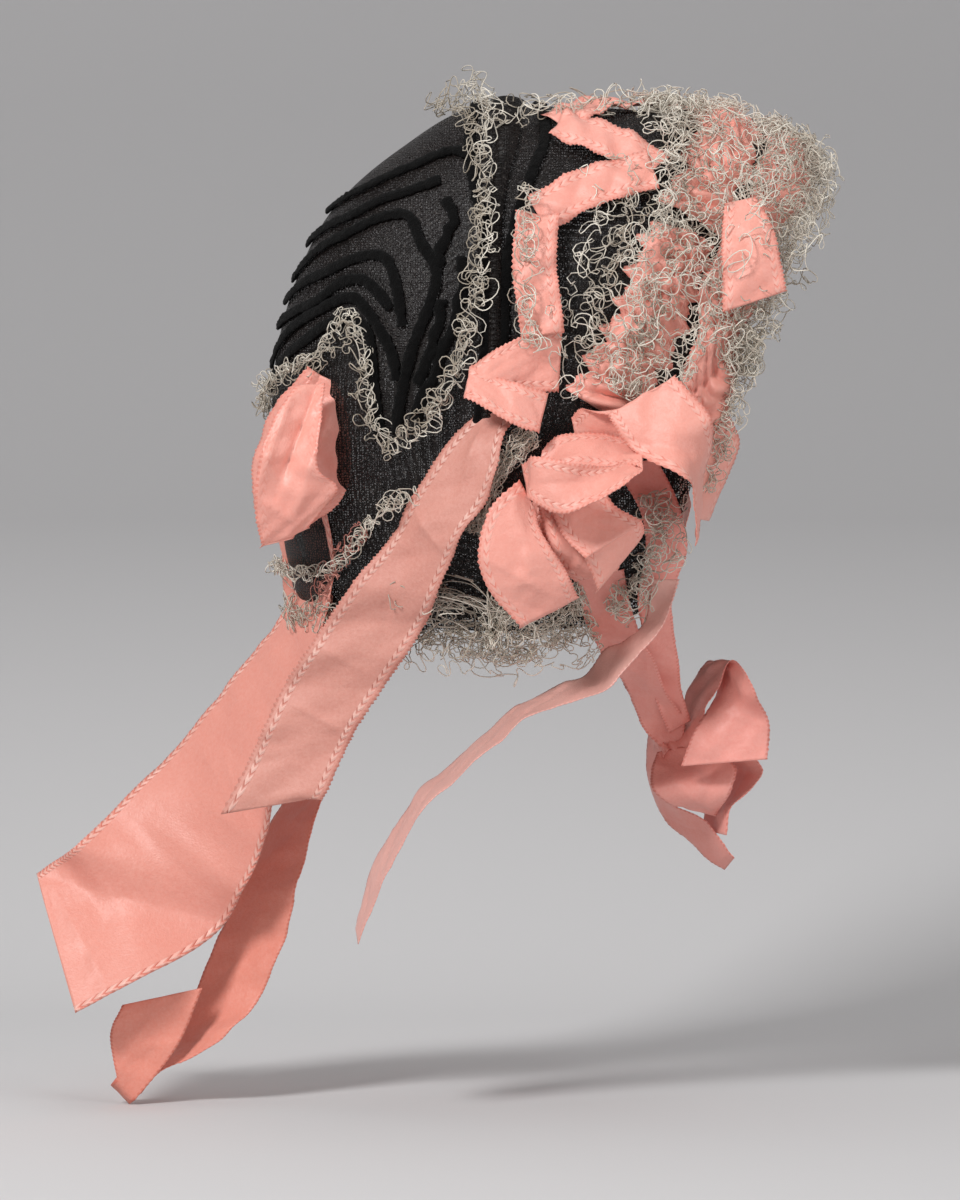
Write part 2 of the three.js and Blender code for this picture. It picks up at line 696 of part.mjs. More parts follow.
// The zigzag ribbon, folded lengthwise, laid to and fro over the right of the crown's front
const zigzagLegs = [
  { lift: 2, places: [[143, 8], [80, 2], [25, 6], [-4, 22]] },
  { lift: 3.6, places: [[-4, 24], [40, 38], [80, 60], [90, 68]] },
  { lift: 5.2, places: [[88, 70], [40, 81], [0, 98], [-24, 112]] },
  { lift: 6.8, places: [[-24, 112], [-27, 160], [-22, 200], [-19, 225]] },
];
zigzagLegs.forEach(({ lift, places }, leg) => {
  piece(`zigzag_leg_${leg + 1}`, "silk", (grow) => {
    const route = places.map(([x, d]) => seatAt(x, d, right));
    const width = () => ribbonWidth / 2 + 2 * grow;
    const low = () => lift - grow;
    const high = () => lift + ribbonThickness + grow;
    return capStrip(route, 6, 2, width, low, high);
  });
});

// Puffed silk ruches under the thread rows: one round the face, and one at each temple
const rucheBody = (route, steps, grow) => {
  const width = () => rucheWidth + 2 * grow;
  const low = () => bandClearance - grow;
  const high = (i, k) => bandClearance + ribbonThickness + ((i + k) % 2 === 0 ? ruchePuff : 0) + grow;
  return capStrip(route, steps, 2, width, low, high);
};
const facePlaces = [[126, 330], [140, 275], [150, 225], [163, 180], [188, 122], [212, 84], [222, 40], [222, 18]];
const templePlaces = [[36, 296], [56, 262], [82, 215], [102, 165], [118, 125]];
piece("face_ruche", "silk", (grow) => rucheBody(overRoute(facePlaces), 18, grow));
for (const [sideName, side] of [["right", right], ["left", left]]) {
  const route = templePlaces.map(([x, d]) => seatAt(x, d, side));
  piece(`${sideName}_temple_ruche`, "silk", (grow) => rucheBody(route, 7, grow));
}

// Crimped thread rows, as locks on a strip
const frizzRows = {
  front_frizz: {
    places: [[170, 262], [172, 230], [176, 190], [188, 150], [208, 110], [225, 70], [236, 36], [236, 20]],
    width: 46,
    height: faceFrizzHeight,
    base: 3.4,
    steps: 18,
  },
  temple_frizz: {
    places: [[60, 285], [88, 230], [110, 180], [130, 130], [142, 85], [138, 40], [128, 12], [128, -4]],
    width: 44,
    height: faceFrizzHeight * 0.6,
    base: 4.2,
    steps: 16,
  },
  crown_edge_frizz: {
    places: [[-150, 335], [-112, 290], [-88, 235], [-76, 190], [-72, 140], [-66, 90], [-72, 50], [-72, 10], [-72, -8]],
    width: 20,
    height: frizzHeight,
    base: 4.6,
    steps: 22,
  },
  back_frizz: {
    places: [[-160, 340], [-184, 300], [-200, 240], [-236, 247], [-282, 275], [-296, 300]],
    width: 12,
    height: frizzHeight * 0.8,
    base: 2.8,
    steps: 16,
  },
  lower_back_frizz: {
    places: [[-140, 375], [-170, 395], [-195, 425], [-215, 450], [-250, 460], [-290, 465]],
    width: 14,
    height: frizzHeight * 0.8,
    base: 1.8,
    steps: 16,
  },
  nape_frizz: {
    places: [[36, 508], [-14, 522], [-75, 534], [-112, 512], [-170, 524], [-215, 532], [-262, 530], [-275, 528]],
    width: 22,
    height: frizzHeight,
    base: 1.8,
    steps: 22,
  },
};

function frizzBody({ width, height, base, steps }, route, grow) {
  const lock = (i, k) => ((i + k) % 2 === 0 ? height : height * 0.45);
  const edge = (k) => (k === 0 || k === 3 ? 0.5 : 1);
  const wide = () => width + 2 * grow;
  const low = () => base - grow;
  const high = (i, k) => base + frizzBase + lock(i, k) * edge(k) + grow;
  return capStrip(route, steps, 3, wide, low, high);
}

const cheekFrizz = {
  places: [[98, 372], [103, 408], [94, 442], [76, 474], [54, 496]],
  width: 15,
  height: frizzHeight,
  base: 3.8,
  steps: 8,
};
for (const [name, row] of Object.entries(frizzRows)) {
  piece(name, "thread", (grow) => frizzBody(row, overRoute(row.places), grow));
}
for (const [sideName, side] of [["right", right], ["left", left]]) {
  const route = cheekFrizz.places.map(([x, d]) => seatAt(x, d, side));
  piece(`${sideName}_cheek_frizz`, "thread", (grow) => frizzBody(cheekFrizz, route, grow));
}

// Each piece keeps clear of those before it, and stays one body.
function meet(a, b) {
  const one = a.boundingBox();
  const two = b.boundingBox();
  return [0, 1, 2].every((axis) => one.min[axis] < two.max[axis] && two.min[axis] < one.max[axis]);
}

function largest(solid) {
  return solid.decompose().reduce((best, body) => (body.volume() > best.volume() ? body : best));
}

const cap = new THREE.Group();
const placed = [];
for (const { name, finish, make } of pieces) {
  let solid = make(0);
  for (const earlier of placed) {
    if (meet(solid, earlier.grown)) solid = solid.subtract(earlier.grown);
  }
  solid = largest(solid);
  placed.push({ name, grown: make(clearance).add(make(clearance / 2)).add(solid) });
  const mesh = solid.getMesh();
  const geometry = new THREE.BufferGeometry();
  const position = new Float32Array(mesh.numVert * 3);
  for (let i = 0; i < mesh.numVert; i += 1) {
    position.set(mesh.vertProperties.subarray(i * mesh.numProp, i * mesh.numProp + 3), i * 3);
  }
  geometry.setAttribute("position", new THREE.BufferAttribute(position, 3));
  geometry.setIndex(new THREE.BufferAttribute(mesh.triVerts, 1));
  geometry.computeVertexNormals();
  const part = new THREE.Mesh(geometry, new THREE.MeshStandardMaterial(finishes[finish]));
  part.name = name;
  cap.add(part);
}

export default cap;
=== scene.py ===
import math

import bpy
import numpy as np
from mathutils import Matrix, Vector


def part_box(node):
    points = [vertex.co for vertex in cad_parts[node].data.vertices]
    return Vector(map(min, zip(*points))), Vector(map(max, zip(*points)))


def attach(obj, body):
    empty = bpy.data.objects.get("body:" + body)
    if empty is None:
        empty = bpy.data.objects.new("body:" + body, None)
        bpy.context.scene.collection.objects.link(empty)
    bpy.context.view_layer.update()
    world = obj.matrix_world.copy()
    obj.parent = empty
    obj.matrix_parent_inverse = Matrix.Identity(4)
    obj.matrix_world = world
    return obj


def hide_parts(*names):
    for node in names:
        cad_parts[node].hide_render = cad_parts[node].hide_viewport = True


# Historic day cap: black net, velvet bands, silk ribbons, crimped thread rows
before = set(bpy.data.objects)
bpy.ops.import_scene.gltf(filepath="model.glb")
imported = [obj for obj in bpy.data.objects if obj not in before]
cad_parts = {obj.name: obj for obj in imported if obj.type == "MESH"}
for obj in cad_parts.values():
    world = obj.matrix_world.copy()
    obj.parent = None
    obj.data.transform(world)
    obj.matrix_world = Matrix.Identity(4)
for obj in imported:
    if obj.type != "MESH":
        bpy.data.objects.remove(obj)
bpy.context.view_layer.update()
bpy.ops.object.select_all(action="DESELECT")
print("frame loaded", len(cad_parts), "nodes")

right, left = -1, 1
sides = (("right", right), ("left", left))
cap = {
    "length": 0.240,
    "height": 0.240,
    "width": 0.168,
    "squares": 500,        # squares of the side view's paper to the cap's length and height
    "power": 2.3,          # how square the oval across is
    "middle": (-20, 290),  # x forward, d down, in squares
}
squareX = cap["length"] / cap["squares"]
squareZ = cap["height"] / cap["squares"]
halfWidth = cap["width"] / 2
middle = np.array([cap["middle"][0] * squareX, 0, -cap["middle"][1] * squareZ])

# How far the cap reaches from its middle at each turn, as a share of its length
outline = [
    (0, 0.6), (30, 0.69), (45, 0.7), (62, 0.638), (75, 0.6), (90, 0.584), (103, 0.598), (119, 0.573),
    (139, 0.56), (156, 0.54), (178, 0.534), (195, 0.548), (212, 0.596), (226, 0.65), (247, 0.6),
    (270, 0.578), (300, 0.593), (330, 0.56),
]


def smoothThrough(at, values, places):
    # a smooth curve through the values, as the cap's outline and the ribbons' rows are joined
    at, values, places = np.asarray(at, float), np.asarray(values, float), np.asarray(places, float)
    if values.ndim == 1:
        return smoothThrough(at, values[:, None], places)[..., 0]
    last = len(at) - 1
    i = np.clip(np.searchsorted(at, places, side="right") - 1, 0, last - 1)
    before, after = np.clip(i - 1, 0, last), np.clip(i + 2, 0, last)
    span = (at[i + 1] - at[i])[..., None]
    slopeHere = span * (values[i + 1] - values[before]) / (at[i + 1] - at[before])[..., None]
    slopeNext = span * (values[after] - values[i]) / (at[after] - at[i])[..., None]
    s = ((places - at[i]) / span[..., 0])[..., None]
    risen = s * s * (3 - 2 * s)
    return (values[i] * (1 - risen) + values[i + 1] * risen
            + slopeHere * s * (1 - s) ** 2 - slopeNext * s * s * (1 - s))


wrapped = [(outline[-1][0] - 360, outline[-1][1])] + outline + [(360, outline[0][1]), (390, outline[1][1])]
outlineAt, outlineReach = np.array(wrapped).T


def reachAt(x, z):
    turn = np.degrees(np.arctan2(z / cap["height"], x / cap["length"])) % 360
    return smoothThrough(outlineAt, outlineReach, turn)


def outness(points):
    x, z = points[..., 0] - middle[0], points[..., 2] - middle[2]
    flat = np.hypot(x / cap["length"], z / cap["height"]) / reachAt(x, z)
    side = np.abs(points[..., 1]) / halfWidth
    return (flat ** cap["power"] + side ** cap["power"]) ** (1 / cap["power"])


def outward(points):
    step = 5e-5
    away = np.stack([
        outness(points + step * axis) - outness(points - step * axis) for axis in np.eye(3)
    ], axis=-1)
    return away / np.linalg.norm(away, axis=-1, keepdims=True)


def onCap(points, lift=0.0):
    seat = (points - middle) / outness(points)[..., None] + middle
    return seat + outward(seat) * np.asarray(lift)[..., None]


def seatAt(x, d, side):
    point = np.array([x * squareX, 0.0, -d * squareZ])
    share = min(1.0, float(outness(point)))
    point[1] = side * halfWidth * (1 - share ** cap["power"]) ** (1 / cap["power"])
    return onCap(point)


def sideRoute(places, side):
    return np.array([seatAt(x, d, side) for x, d in places])


def overRoute(places):
    # up the right side, over the middle, down the left side alike
    half = list(sideRoute(places, right))
    crest = onCap(half[-1] * np.array([1, 0, 1]))
    return np.array(half[:-1] + [crest] + [p * np.array([1, -1, 1]) for p in half[:-1]][::-1])


def unit(vectors):
    return vectors / (np.linalg.norm(vectors, axis=-1, keepdims=True) + 1e-12)


def lengthsAlong(points, least=0.0):
    steps = np.maximum(least, np.linalg.norm(np.diff(points, axis=0), axis=1))
    return np.concatenate([[0], np.cumsum(steps)])


def lineThrough(route, spacing, finePoints=800):
    # evenly spaced points along a smooth line through the route, and their distance along it
    at = lengthsAlong(route)
    fine = smoothThrough(at, route, np.linspace(0, at[-1], finePoints))
    along = lengthsAlong(fine)
    count = max(2, round(along[-1] / spacing)) + 1
    place = np.linspace(0, along[-1], count)
    return np.stack([np.interp(place, along, fine[:, k]) for k in range(3)], axis=1), place


def capFrames(route, spacing):
    line, along = lineThrough(route, spacing)
    line = onCap(line)
    ahead = unit(np.gradient(line, axis=0))
    across = unit(np.cross(outward(line), ahead))
    return line, across, along


# Materials
def setInputs(node, values):
    for key, value in values.items():
        node.inputs[key].default_value = value


def newMaterial(name, color, roughness):
    material = bpy.data.materials.new(name)
    material.use_nodes = True
    shader = material.node_tree.nodes["Principled BSDF"]
    setInputs(shader, {"Base Color": (*color, 1), "Roughness": roughness})
    return material, material.node_tree, shader


def mathNode(tree, operation, *values):
    node = tree.nodes.new("ShaderNodeMath")
    node.operation = operation
    for socket, value in zip(node.inputs, values):
        if isinstance(value, (int, float)):
            socket.default_value = value
        else:
            tree.links.new(value, socket)
    return node.outputs[0]


def times(tree, first, second):
    return mathNode(tree, "MULTIPLY", first, second)


def plus(tree, first, second):
    return mathNode(tree, "ADD", first, second)


def mixColor(tree, share, first, second):
    node = tree.nodes.new("ShaderNodeMix")
    node.data_type = "RGBA"
    tree.links.new(share, node.inputs["Factor"])
    for socket, value in ((node.inputs[6], first), (node.inputs[7], second)):
        if isinstance(value, tuple):
            socket.default_value = (*value, 1)
        else:
            tree.links.new(value, socket)
    return node.outputs[2]


def noise(tree, vector, scale, detail=2.0, roughness=0.5):
    node = tree.nodes.new("ShaderNodeTexNoise")
    setInputs(node, {"Scale": scale, "Detail": detail, "Roughness": roughness})
    tree.links.new(vector, node.inputs["Vector"])
    return node.outputs["Fac"]


def bump(tree, shader, height, distance, strength):
    node = tree.nodes.new("ShaderNodeBump")
    setInputs(node, {"Distance": distance, "Strength": strength})
    tree.links.new(height, node.inputs["Height"])
    tree.links.new(node.outputs["Normal"], shader.inputs["Normal"])


def coordinates(tree, kind):
    return tree.nodes.new("ShaderNodeTexCoord").outputs[kind]


def splitAxes(tree, kind):
    node = tree.nodes.new("ShaderNodeSeparateXYZ")
    tree.links.new(coordinates(tree, kind), node.inputs[0])
    return node.outputs


silkFinish = {
    "lit": (0.90, 0.375, 0.30),
    "deep": (0.76, 0.21, 0.155),
    "pale": (0.97, 0.64, 0.55),
    "roughness": 0.46,
    "braidFromEdge": 0.0034,  # the chain-stitched line inside each edge, in metres
    "braidHalf": 0.0013,
    "braidPitch": 0.0043,
    # how strong the painted highlight and painted shade on the braid's stitches are
    "braidLight": 0.36,
    "toothPitch": 0.0022,
    "crumple": 0.5,
}


def crumpled(tree, place, scale, turn):
    # small facets with sharp ridges between them, as crisp silk takes when it is handled
    bent = tree.nodes.new("ShaderNodeVectorMath")
    bent.operation = "ADD"
    wander = tree.nodes.new("ShaderNodeTexNoise")
    wander.inputs["Scale"].default_value = scale * 0.5
    tree.links.new(place, wander.inputs["Vector"])
    soft = tree.nodes.new("ShaderNodeVectorMath")
    soft.operation = "SCALE"
    soft.inputs["Scale"].default_value = 0.7 / scale
    tree.links.new(wander.outputs["Color"], soft.inputs[0])
    tree.links.new(place, bent.inputs[0])
    tree.links.new(soft.outputs[0], bent.inputs[1])
    turned = tree.nodes.new("ShaderNodeMapping")
    setInputs(turned, {"Rotation": (turn, 0.6 * turn, 0), "Scale": (1, 1, 0.55)})
    tree.links.new(bent.outputs[0], turned.inputs["Vector"])
    cells = tree.nodes.new("ShaderNodeTexVoronoi")
    cells.inputs["Scale"].default_value = scale
    tree.links.new(turned.outputs[0], cells.inputs["Vector"])
    return cells.outputs["Distance"]


def silkMaterial(name, finish):
    # UV x is the distance from the nearest edge, UV y the distance along, both in metres
    material, tree, shader = newMaterial(name, finish["lit"], finish["roughness"])
    axes = splitAxes(tree, "UV")
    edge, along = axes[0], axes[1]
    place = coordinates(tree, "Object")
    mottle = times(tree, noise(tree, place, 30, 4, 0.6), 0.7)
    color = mixColor(tree, mottle, finish["lit"], finish["deep"])
    grain = times(tree, noise(tree, place, 620, 3, 0.65), 0.34)
    color = mixColor(tree, grain, color, finish["pale"])
    fromBraid = mathNode(tree, "ABSOLUTE", mathNode(tree, "SUBTRACT", edge, finish["braidFromEdge"]))
    onBraid = mathNode(tree, "LESS_THAN", fromBraid, finish["braidHalf"])
    slanted = plus(tree, along, times(tree, fromBraid, 1.5))
    stitch = mathNode(tree, "FRACT", mathNode(tree, "DIVIDE", slanted, finish["braidPitch"]))
    # painted highlight: the pale colour on each stitch loop, stronger on some loops than others
    unevenStitchHighlight = noise(tree, place, 55, 2)
    light = times(tree, onBraid, mathNode(tree, "GREATER_THAN", stitch, 0.42))
    light = times(tree, light, times(tree, unevenStitchHighlight, finish["braidLight"] * 1.6))
    # painted shade: the deep colour between the stitch loops
    stitchShade = times(tree, onBraid, mathNode(tree, "LESS_THAN", stitch, 0.2))
    color = mixColor(tree, light, color, finish["pale"])
    color = mixColor(tree, times(tree, stitchShade, 0.9 * finish["braidLight"] / 0.45), color, finish["deep"])
    onEdge = mathNode(tree, "LESS_THAN", edge, 0.0011)
    tooth = mathNode(tree, "FRACT", mathNode(tree, "DIVIDE", along, finish["toothPitch"]))
    gap = times(tree, onEdge, mathNode(tree, "LESS_THAN", tooth, 0.5))
    color = mixColor(tree, times(tree, gap, 0.6), color, finish["deep"])
    tree.links.new(color, shader.inputs["Base Color"])
    loops = mathNode(tree, "SINE", times(tree, stitch, math.pi))
    raised = times(tree, times(tree, onBraid, loops), finish["braidLight"] * 1.4)
    weave = noise(tree, place, 1100, 2, 0.6)
    slub = noise(tree, place, 210, 3, 0.7)
    folds = times(tree, crumpled(tree, place, 62, 0.7), 2.6 * finish["crumple"])
    creases = times(tree, crumpled(tree, place, 150, 2.1), 1.0 * finish["crumple"])
    height = plus(tree, raised, times(tree, weave, 0.42))
    height = plus(tree, height, times(tree, slub, 0.5))
    height = plus(tree, height, plus(tree, folds, creases))
    bump(tree, shader, height, 0.0006, 0.8)
    setInputs(shader, {"Sheen Weight": 0.15, "Sheen Roughness": 0.4, "Sheen Tint": (1.0, 0.8, 0.74, 1),
                       "Specular IOR Level": 0.5})
    return material


def velvetMaterial(name):
    material, tree, shader = newMaterial(name, (0.004, 0.004, 0.004), 0.95)
    place = coordinates(tree, "Object")
    color = mixColor(tree, noise(tree, place, 260, 3, 0.6), (0.0008, 0.0008, 0.0008), (0.007, 0.0065, 0.0065))
    tree.links.new(color, shader.inputs["Base Color"])
    pile = plus(tree, noise(tree, place, 1100, 3, 0.8), noise(tree, place, 260, 2))
    bump(tree, shader, pile, 0.0011, 1.0)
    setInputs(shader, {"Sheen Weight": 0.04, "Sheen Roughness": 0.5, "Specular IOR Level": 0.08})
    return material


def netMaterial(name, mesh, thread, openShare):
    # thin threads round small holes, with a glint on a thread here and there
    material, tree, shader = newMaterial(name, (0.004, 0.0035, 0.0035), 0.42)
    place = coordinates(tree, "Object")
    cells = tree.nodes.new("ShaderNodeTexVoronoi")
    cells.feature = "DISTANCE_TO_EDGE"
    setInputs(cells, {"Scale": 1 / mesh, "Randomness": 0.55})
    tree.links.new(place, cells.inputs["Vector"])
    onThread = mathNode(tree, "LESS_THAN", cells.outputs["Distance"], thread)
    tree.links.new(mathNode(tree, "MAXIMUM", onThread, 1 - openShare), shader.inputs["Alpha"])
    glint = times(tree, onThread, mathNode(tree, "GREATER_THAN", noise(tree, place, 700, 1), 0.66))
    warm = mixColor(tree, noise(tree, place, 45, 2), (0.0022, 0.0018, 0.0018), (0.010, 0.006, 0.005))
    tree.links.new(mixColor(tree, times(tree, glint, 0.28), warm, (0.16, 0.14, 0.13)),
                   shader.inputs["Base Color"])
    shader.inputs["Specular IOR Level"].default_value = 0.2
    bump(tree, shader, cells.outputs["Distance"], 0.0005, 0.7)
    return material


def threadMaterial(name, pale, deep):
    # UV x is a number of each thread's own
    material, tree, shader = newMaterial(name, pale, 0.55)
    # threads and patches darker at random: painted shade for threads lying in the bundle's shadow, together with
    # the threads' own varying tone
    toneAndShade = times(tree, noise(tree, coordinates(tree, "Object"), 70, 2), 0.9)
    own = times(tree, splitAxes(tree, "UV")[0], 0.75)
    share = mathNode(tree, "SUBTRACT", times(tree, plus(tree, toneAndShade, own), 0.85), 0.22)
    share = mathNode(tree, "MAXIMUM", share, 0.0)
    tree.links.new(mixColor(tree, share, pale, deep), shader.inputs["Base Color"])
    shader.inputs["Sheen Weight"].default_value = 0.2
    return material


plain = {"braidLight": 0.0, "crumple": 0.35}
silk = silkMaterial("coralSilk", silkFinish)
plainSilk = silkMaterial("plainCoralSilk", silkFinish | {"braidLight": 0.1, "crumple": 0.45, "roughness": 0.4})
broadSilk = silkMaterial("broadCoralSilk", silkFinish | {
    "lit": (0.82, 0.305, 0.235), "deep": (0.70, 0.19, 0.135), "braidFromEdge": 0.0017, "braidHalf": 0.0017,
    "braidLight": 0.6, "crumple": 0.25, "roughness": 0.42})
# a darker copy of the silk for the narrow back streamer: painted shade, as that streamer hangs on the shadow side
shadowSideSilk = silkMaterial("shadowSideCoralSilk", silkFinish | plain | {
    "lit": (0.84, 0.26, 0.18), "deep": (0.70, 0.155, 0.10)})
shadedSilk = silkMaterial("shadedCoralSilk", silkFinish | plain | {
    "lit": (0.90, 0.34, 0.285), "deep": (0.72, 0.19, 0.15)})
# the side streamer's thin silk, rougher, with its colour darkened as painted shade, as the streamer hangs in shadow
thinShadedSilk = silkMaterial("thinShadedCoralSilk", silkFinish | {
    "lit": (0.66, 0.265, 0.205), "deep": (0.57, 0.185, 0.14), "roughness": 0.55, "crumple": 0.4, "braidLight": 0.6})
paleSilk = silkMaterial("paleCoralSilk", silkFinish | plain | {
    "lit": (0.84, 0.45, 0.39), "deep": (0.74, 0.31, 0.26)})
velvet = velvetMaterial("blackVelvet")
net = netMaterial("blackNet", 0.0012, 0.17, 0.55)
gatheredNet = netMaterial("gatheredBlackNet", 0.0012, 0.22, 0.5)
thread = threadMaterial("creamThread", (0.95, 0.89, 0.78), (0.36, 0.29, 0.21))
pinkThread = threadMaterial("pinkThread", (0.75, 0.34, 0.27), (0.40, 0.12, 0.09))
print("materials made")


def addMesh(name, points, faces, material, uv=None):
    mesh = bpy.data.meshes.new(name)
    mesh.from_pydata(points.tolist(), [], faces if isinstance(faces, list) else faces.tolist())
    if uv is not None:
        layer = mesh.uv_layers.new(name="UVMap")
        loops = np.empty(len(mesh.loops), np.int32)
        mesh.loops.foreach_get("vertex_index", loops)
        layer.data.foreach_set("uv", uv[loops].astype(np.float32).ravel())
    mesh.polygons.foreach_set("use_smooth", np.full(len(mesh.polygons), True))
    mesh.materials.append(material)
    mesh.update()
    piece = bpy.data.objects.new(name, mesh)
    bpy.context.scene.collection.objects.link(piece)
    return piece


def gridFaces(rows, columns):
    i, k = np.meshgrid(np.arange(rows - 1), np.arange(columns - 1), indexing="ij")
    a = (i * columns + k).ravel()
    return np.stack([a, a + 1, a + columns + 1, a + columns], axis=1)


def ringFaces(rows, columns):
    # between rows that are closed rings
    i, k = np.meshgrid(np.arange(rows - 1), np.arange(columns), indexing="ij")
    a, b = (i * columns + k).ravel(), (i * columns + (k + 1) % columns).ravel()
    return np.stack([a, a + columns, b + columns, b], axis=1)


def clothUv(u, wide, along):
    # the distance from the nearest edge, and the distance along
    edge = (0.5 - np.abs(u))[None, :] * wide[:, None]
    return np.stack([edge, np.broadcast_to(along[:, None], edge.shape)], axis=-1)


def pick(piece):
    bpy.ops.object.select_all(action="DESELECT")
    piece.select_set(True)
    bpy.context.view_layer.objects.active = piece


def clothFromGrid(name, grid, material, uv, thickness):
    rows, columns = grid.shape[:2]
    piece = addMesh(name, grid.reshape(-1, 3), gridFaces(rows, columns), material, uv.reshape(-1, 2))
    if thickness:
        wall = piece.modifiers.new("thickness", "SOLIDIFY")
        wall.thickness = thickness
        wall.offset = 0
        pick(piece)
        bpy.ops.object.modifier_apply(modifier=wall.name)
    return piece


def mergeDoubles(piece):
    pick(piece)
    bpy.ops.object.mode_set(mode="EDIT")
    bpy.ops.mesh.select_all(action="SELECT")
    bpy.ops.mesh.remove_doubles(threshold=1e-5)
    bpy.ops.mesh.normals_make_consistent(inside=False)
    bpy.ops.object.mode_set(mode="OBJECT")


def settlePiece(piece, slotName, *nodes):
    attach(piece, "root")
    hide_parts(*[node for node in nodes if node])


# Free ribbons
ribbonSize = {"width": 0.039, "broad": 0.080, "thickness": 0.0004, "step": 0.0011, "foldGap": 0.0016}
picot = {"depth": 0.0009}


def ribbonSections(rows, width, side):
    sections = []
    for row in rows:
        ax, ad, bx, bd, y, lean, draw, bow, fold = (list(row) + [0] * 9)[:9]
        seen = np.array([(bx - ax) * squareX, 0, -(bd - ad) * squareZ])
        spread = width * draw
        flat = min(np.linalg.norm(seen), spread) if lean else spread
        deep = math.sqrt(max(0, spread * spread - flat * flat)) * lean
        across = unit(seen) * flat + np.array([0, side * deep, 0])
        mid = np.array([(ax + bx) / 2 * squareX, side * y * halfWidth, -(ad + bd) / 2 * squareZ])
        sections.append({"mid": mid, "across": across, "bow": bow, "fold": fold})
    return sections


def ribbonLegs(sections):
    # splits the ribbon where it is folded, with a small bend between the two legs
    legs = [[]]
    for i, section in enumerate(sections):
        if not section["fold"]:
            legs[-1].append(section)
            continue
        before, after = sections[i - 1]["mid"], sections[i + 1]["mid"]
        layer = np.array([0, np.sign(after[1] - before[1]) * ribbonSize["foldGap"] / 2, 0])
        out = unit((section["mid"] - before) * np.array([1, 0, 1])) * ribbonSize["foldGap"] / 2
        legs[-1].append(section | {"mid": section["mid"] - layer})
        bendTurns = np.radians([-50, 0, 50])
        legs.append([section | {"mid": section["mid"] + out * math.cos(t) + layer * math.sin(t)}
                     for t in bendTurns])
        legs.append([section | {"mid": section["mid"] + layer}])
    return legs


def ribbonGrid(rows, side, width, columns):
    mids, acrosses, bows = [], [], []
    for leg in ribbonLegs(ribbonSections(rows, width, side)):
        values = np.array([[*s["mid"], *s["across"], s["bow"]] for s in leg])
        if len(leg) > 3 or (len(leg) > 1 and not leg[0]["fold"]) or (len(leg) > 1 and not leg[-1]["fold"]):
            length = lengthsAlong(values[:, :3], 0.001)
            count = max(3, round(length[-1] / ribbonSize["step"]))
            values = smoothThrough(length, values, np.linspace(0, length[-1], count + 1))
        mids.append(values[:, :3])
        acrosses.append(values[:, 3:6])
        bows.append(values[:, 6])
    mid, across, bow = np.concatenate(mids), np.concatenate(acrosses), np.concatenate(bows)
    along = lengthsAlong(mid)
    ahead = np.gradient(mid, axis=0)
    facing = unit(np.cross(ahead, across))
    wide = np.linalg.norm(across, axis=1)
    u = np.linspace(-0.5, 0.5, columns)
    grid = (mid[:, None] + across[:, None] * u[None, :, None]
            + facing[:, None] * (bow * wide)[:, None, None] * (1 - 4 * u ** 2)[None, :, None])
    return grid, clothUv(u, wide, along), facing, wide, along


creaseSize = {
    "least": 5, "apart": 0.006, "slant": 1.1, "reach": (0.0012, 0.0040), "spread": (0.005, 0.016),
    "waves": 4, "waveLength": (0.014, 0.040), "waveSlant": 0.9, "waveHeight": (1.2, 2.4), "endTaper": 0.004,
}


def wrinkle(grid, side, facing, wide, along, soft, seed, pleats, facets):
    # sharp creases and flat facets between them, at many slants, and the pleats that are given by place
    rng = np.random.default_rng(seed)
    u = np.linspace(-0.5, 0.5, grid.shape[1])[None, :] * wide[:, None]
    lift = np.zeros(u.shape)
    length = along[-1] + 1e-6
    for _ in range(max(creaseSize["least"], int(length / creaseSize["apart"]))):
        at, slant = rng.uniform(0, length), rng.normal(0, creaseSize["slant"])
        size, reach = rng.uniform(0.3, 1) * soft, rng.uniform(*creaseSize["reach"])
        middleOf, spread = rng.uniform(-0.5, 0.5) * wide.mean(), rng.uniform(*creaseSize["spread"])
        off = (along[:, None] + slant * u - at) / reach / math.hypot(1, slant)
        lift += size * np.exp(-np.abs(off) - ((u - middleOf) / spread) ** 2) * rng.choice([-1, 1])
    for _ in range(creaseSize["waves"]):
        period, turn = rng.uniform(*creaseSize["waveLength"]), rng.uniform(0, 1)
        slant = rng.normal(0, creaseSize["waveSlant"])
        wave = np.abs(((along[:, None] + slant * u) / period + turn) % 1 - 0.5)
        lift += soft * rng.uniform(*creaseSize["waveHeight"]) * (wave - 0.25) * period / 0.02
    seen = np.stack([grid[..., 0] / squareX, -grid[..., 2] / squareZ], axis=-1)
    out = np.tanh(6 * side * facing[:, 1])[:, None]  # which way the ribbon's outer side faces

    def fromLine(ax, ad, bx, bd):
        run = np.array([bx - ax, bd - ad], float)
        span = np.linalg.norm(run)
        off = ((seen[..., 0] - ax) * run[1] - (seen[..., 1] - ad) * run[0]) / span
        share = ((seen[..., 0] - ax) * run[0] + (seen[..., 1] - ad) * run[1]) / span ** 2
        return off, np.clip(1.4 - np.abs(share - 0.5) * 2, 0, 1)

    lift *= np.minimum(1, np.minimum(along, length - along) / creaseSize["endTaper"])[:, None]
    for line, height, reach in pleats:
        off, near = fromLine(*line)
        lift += out * height * np.exp(-np.abs(off) / reach) * near
    for line, slope in facets:
        off, near = fromLine(*line)
        lift += out * slope * squareX * np.maximum(0, off)
    return grid + facing[:, None] * lift[..., None]


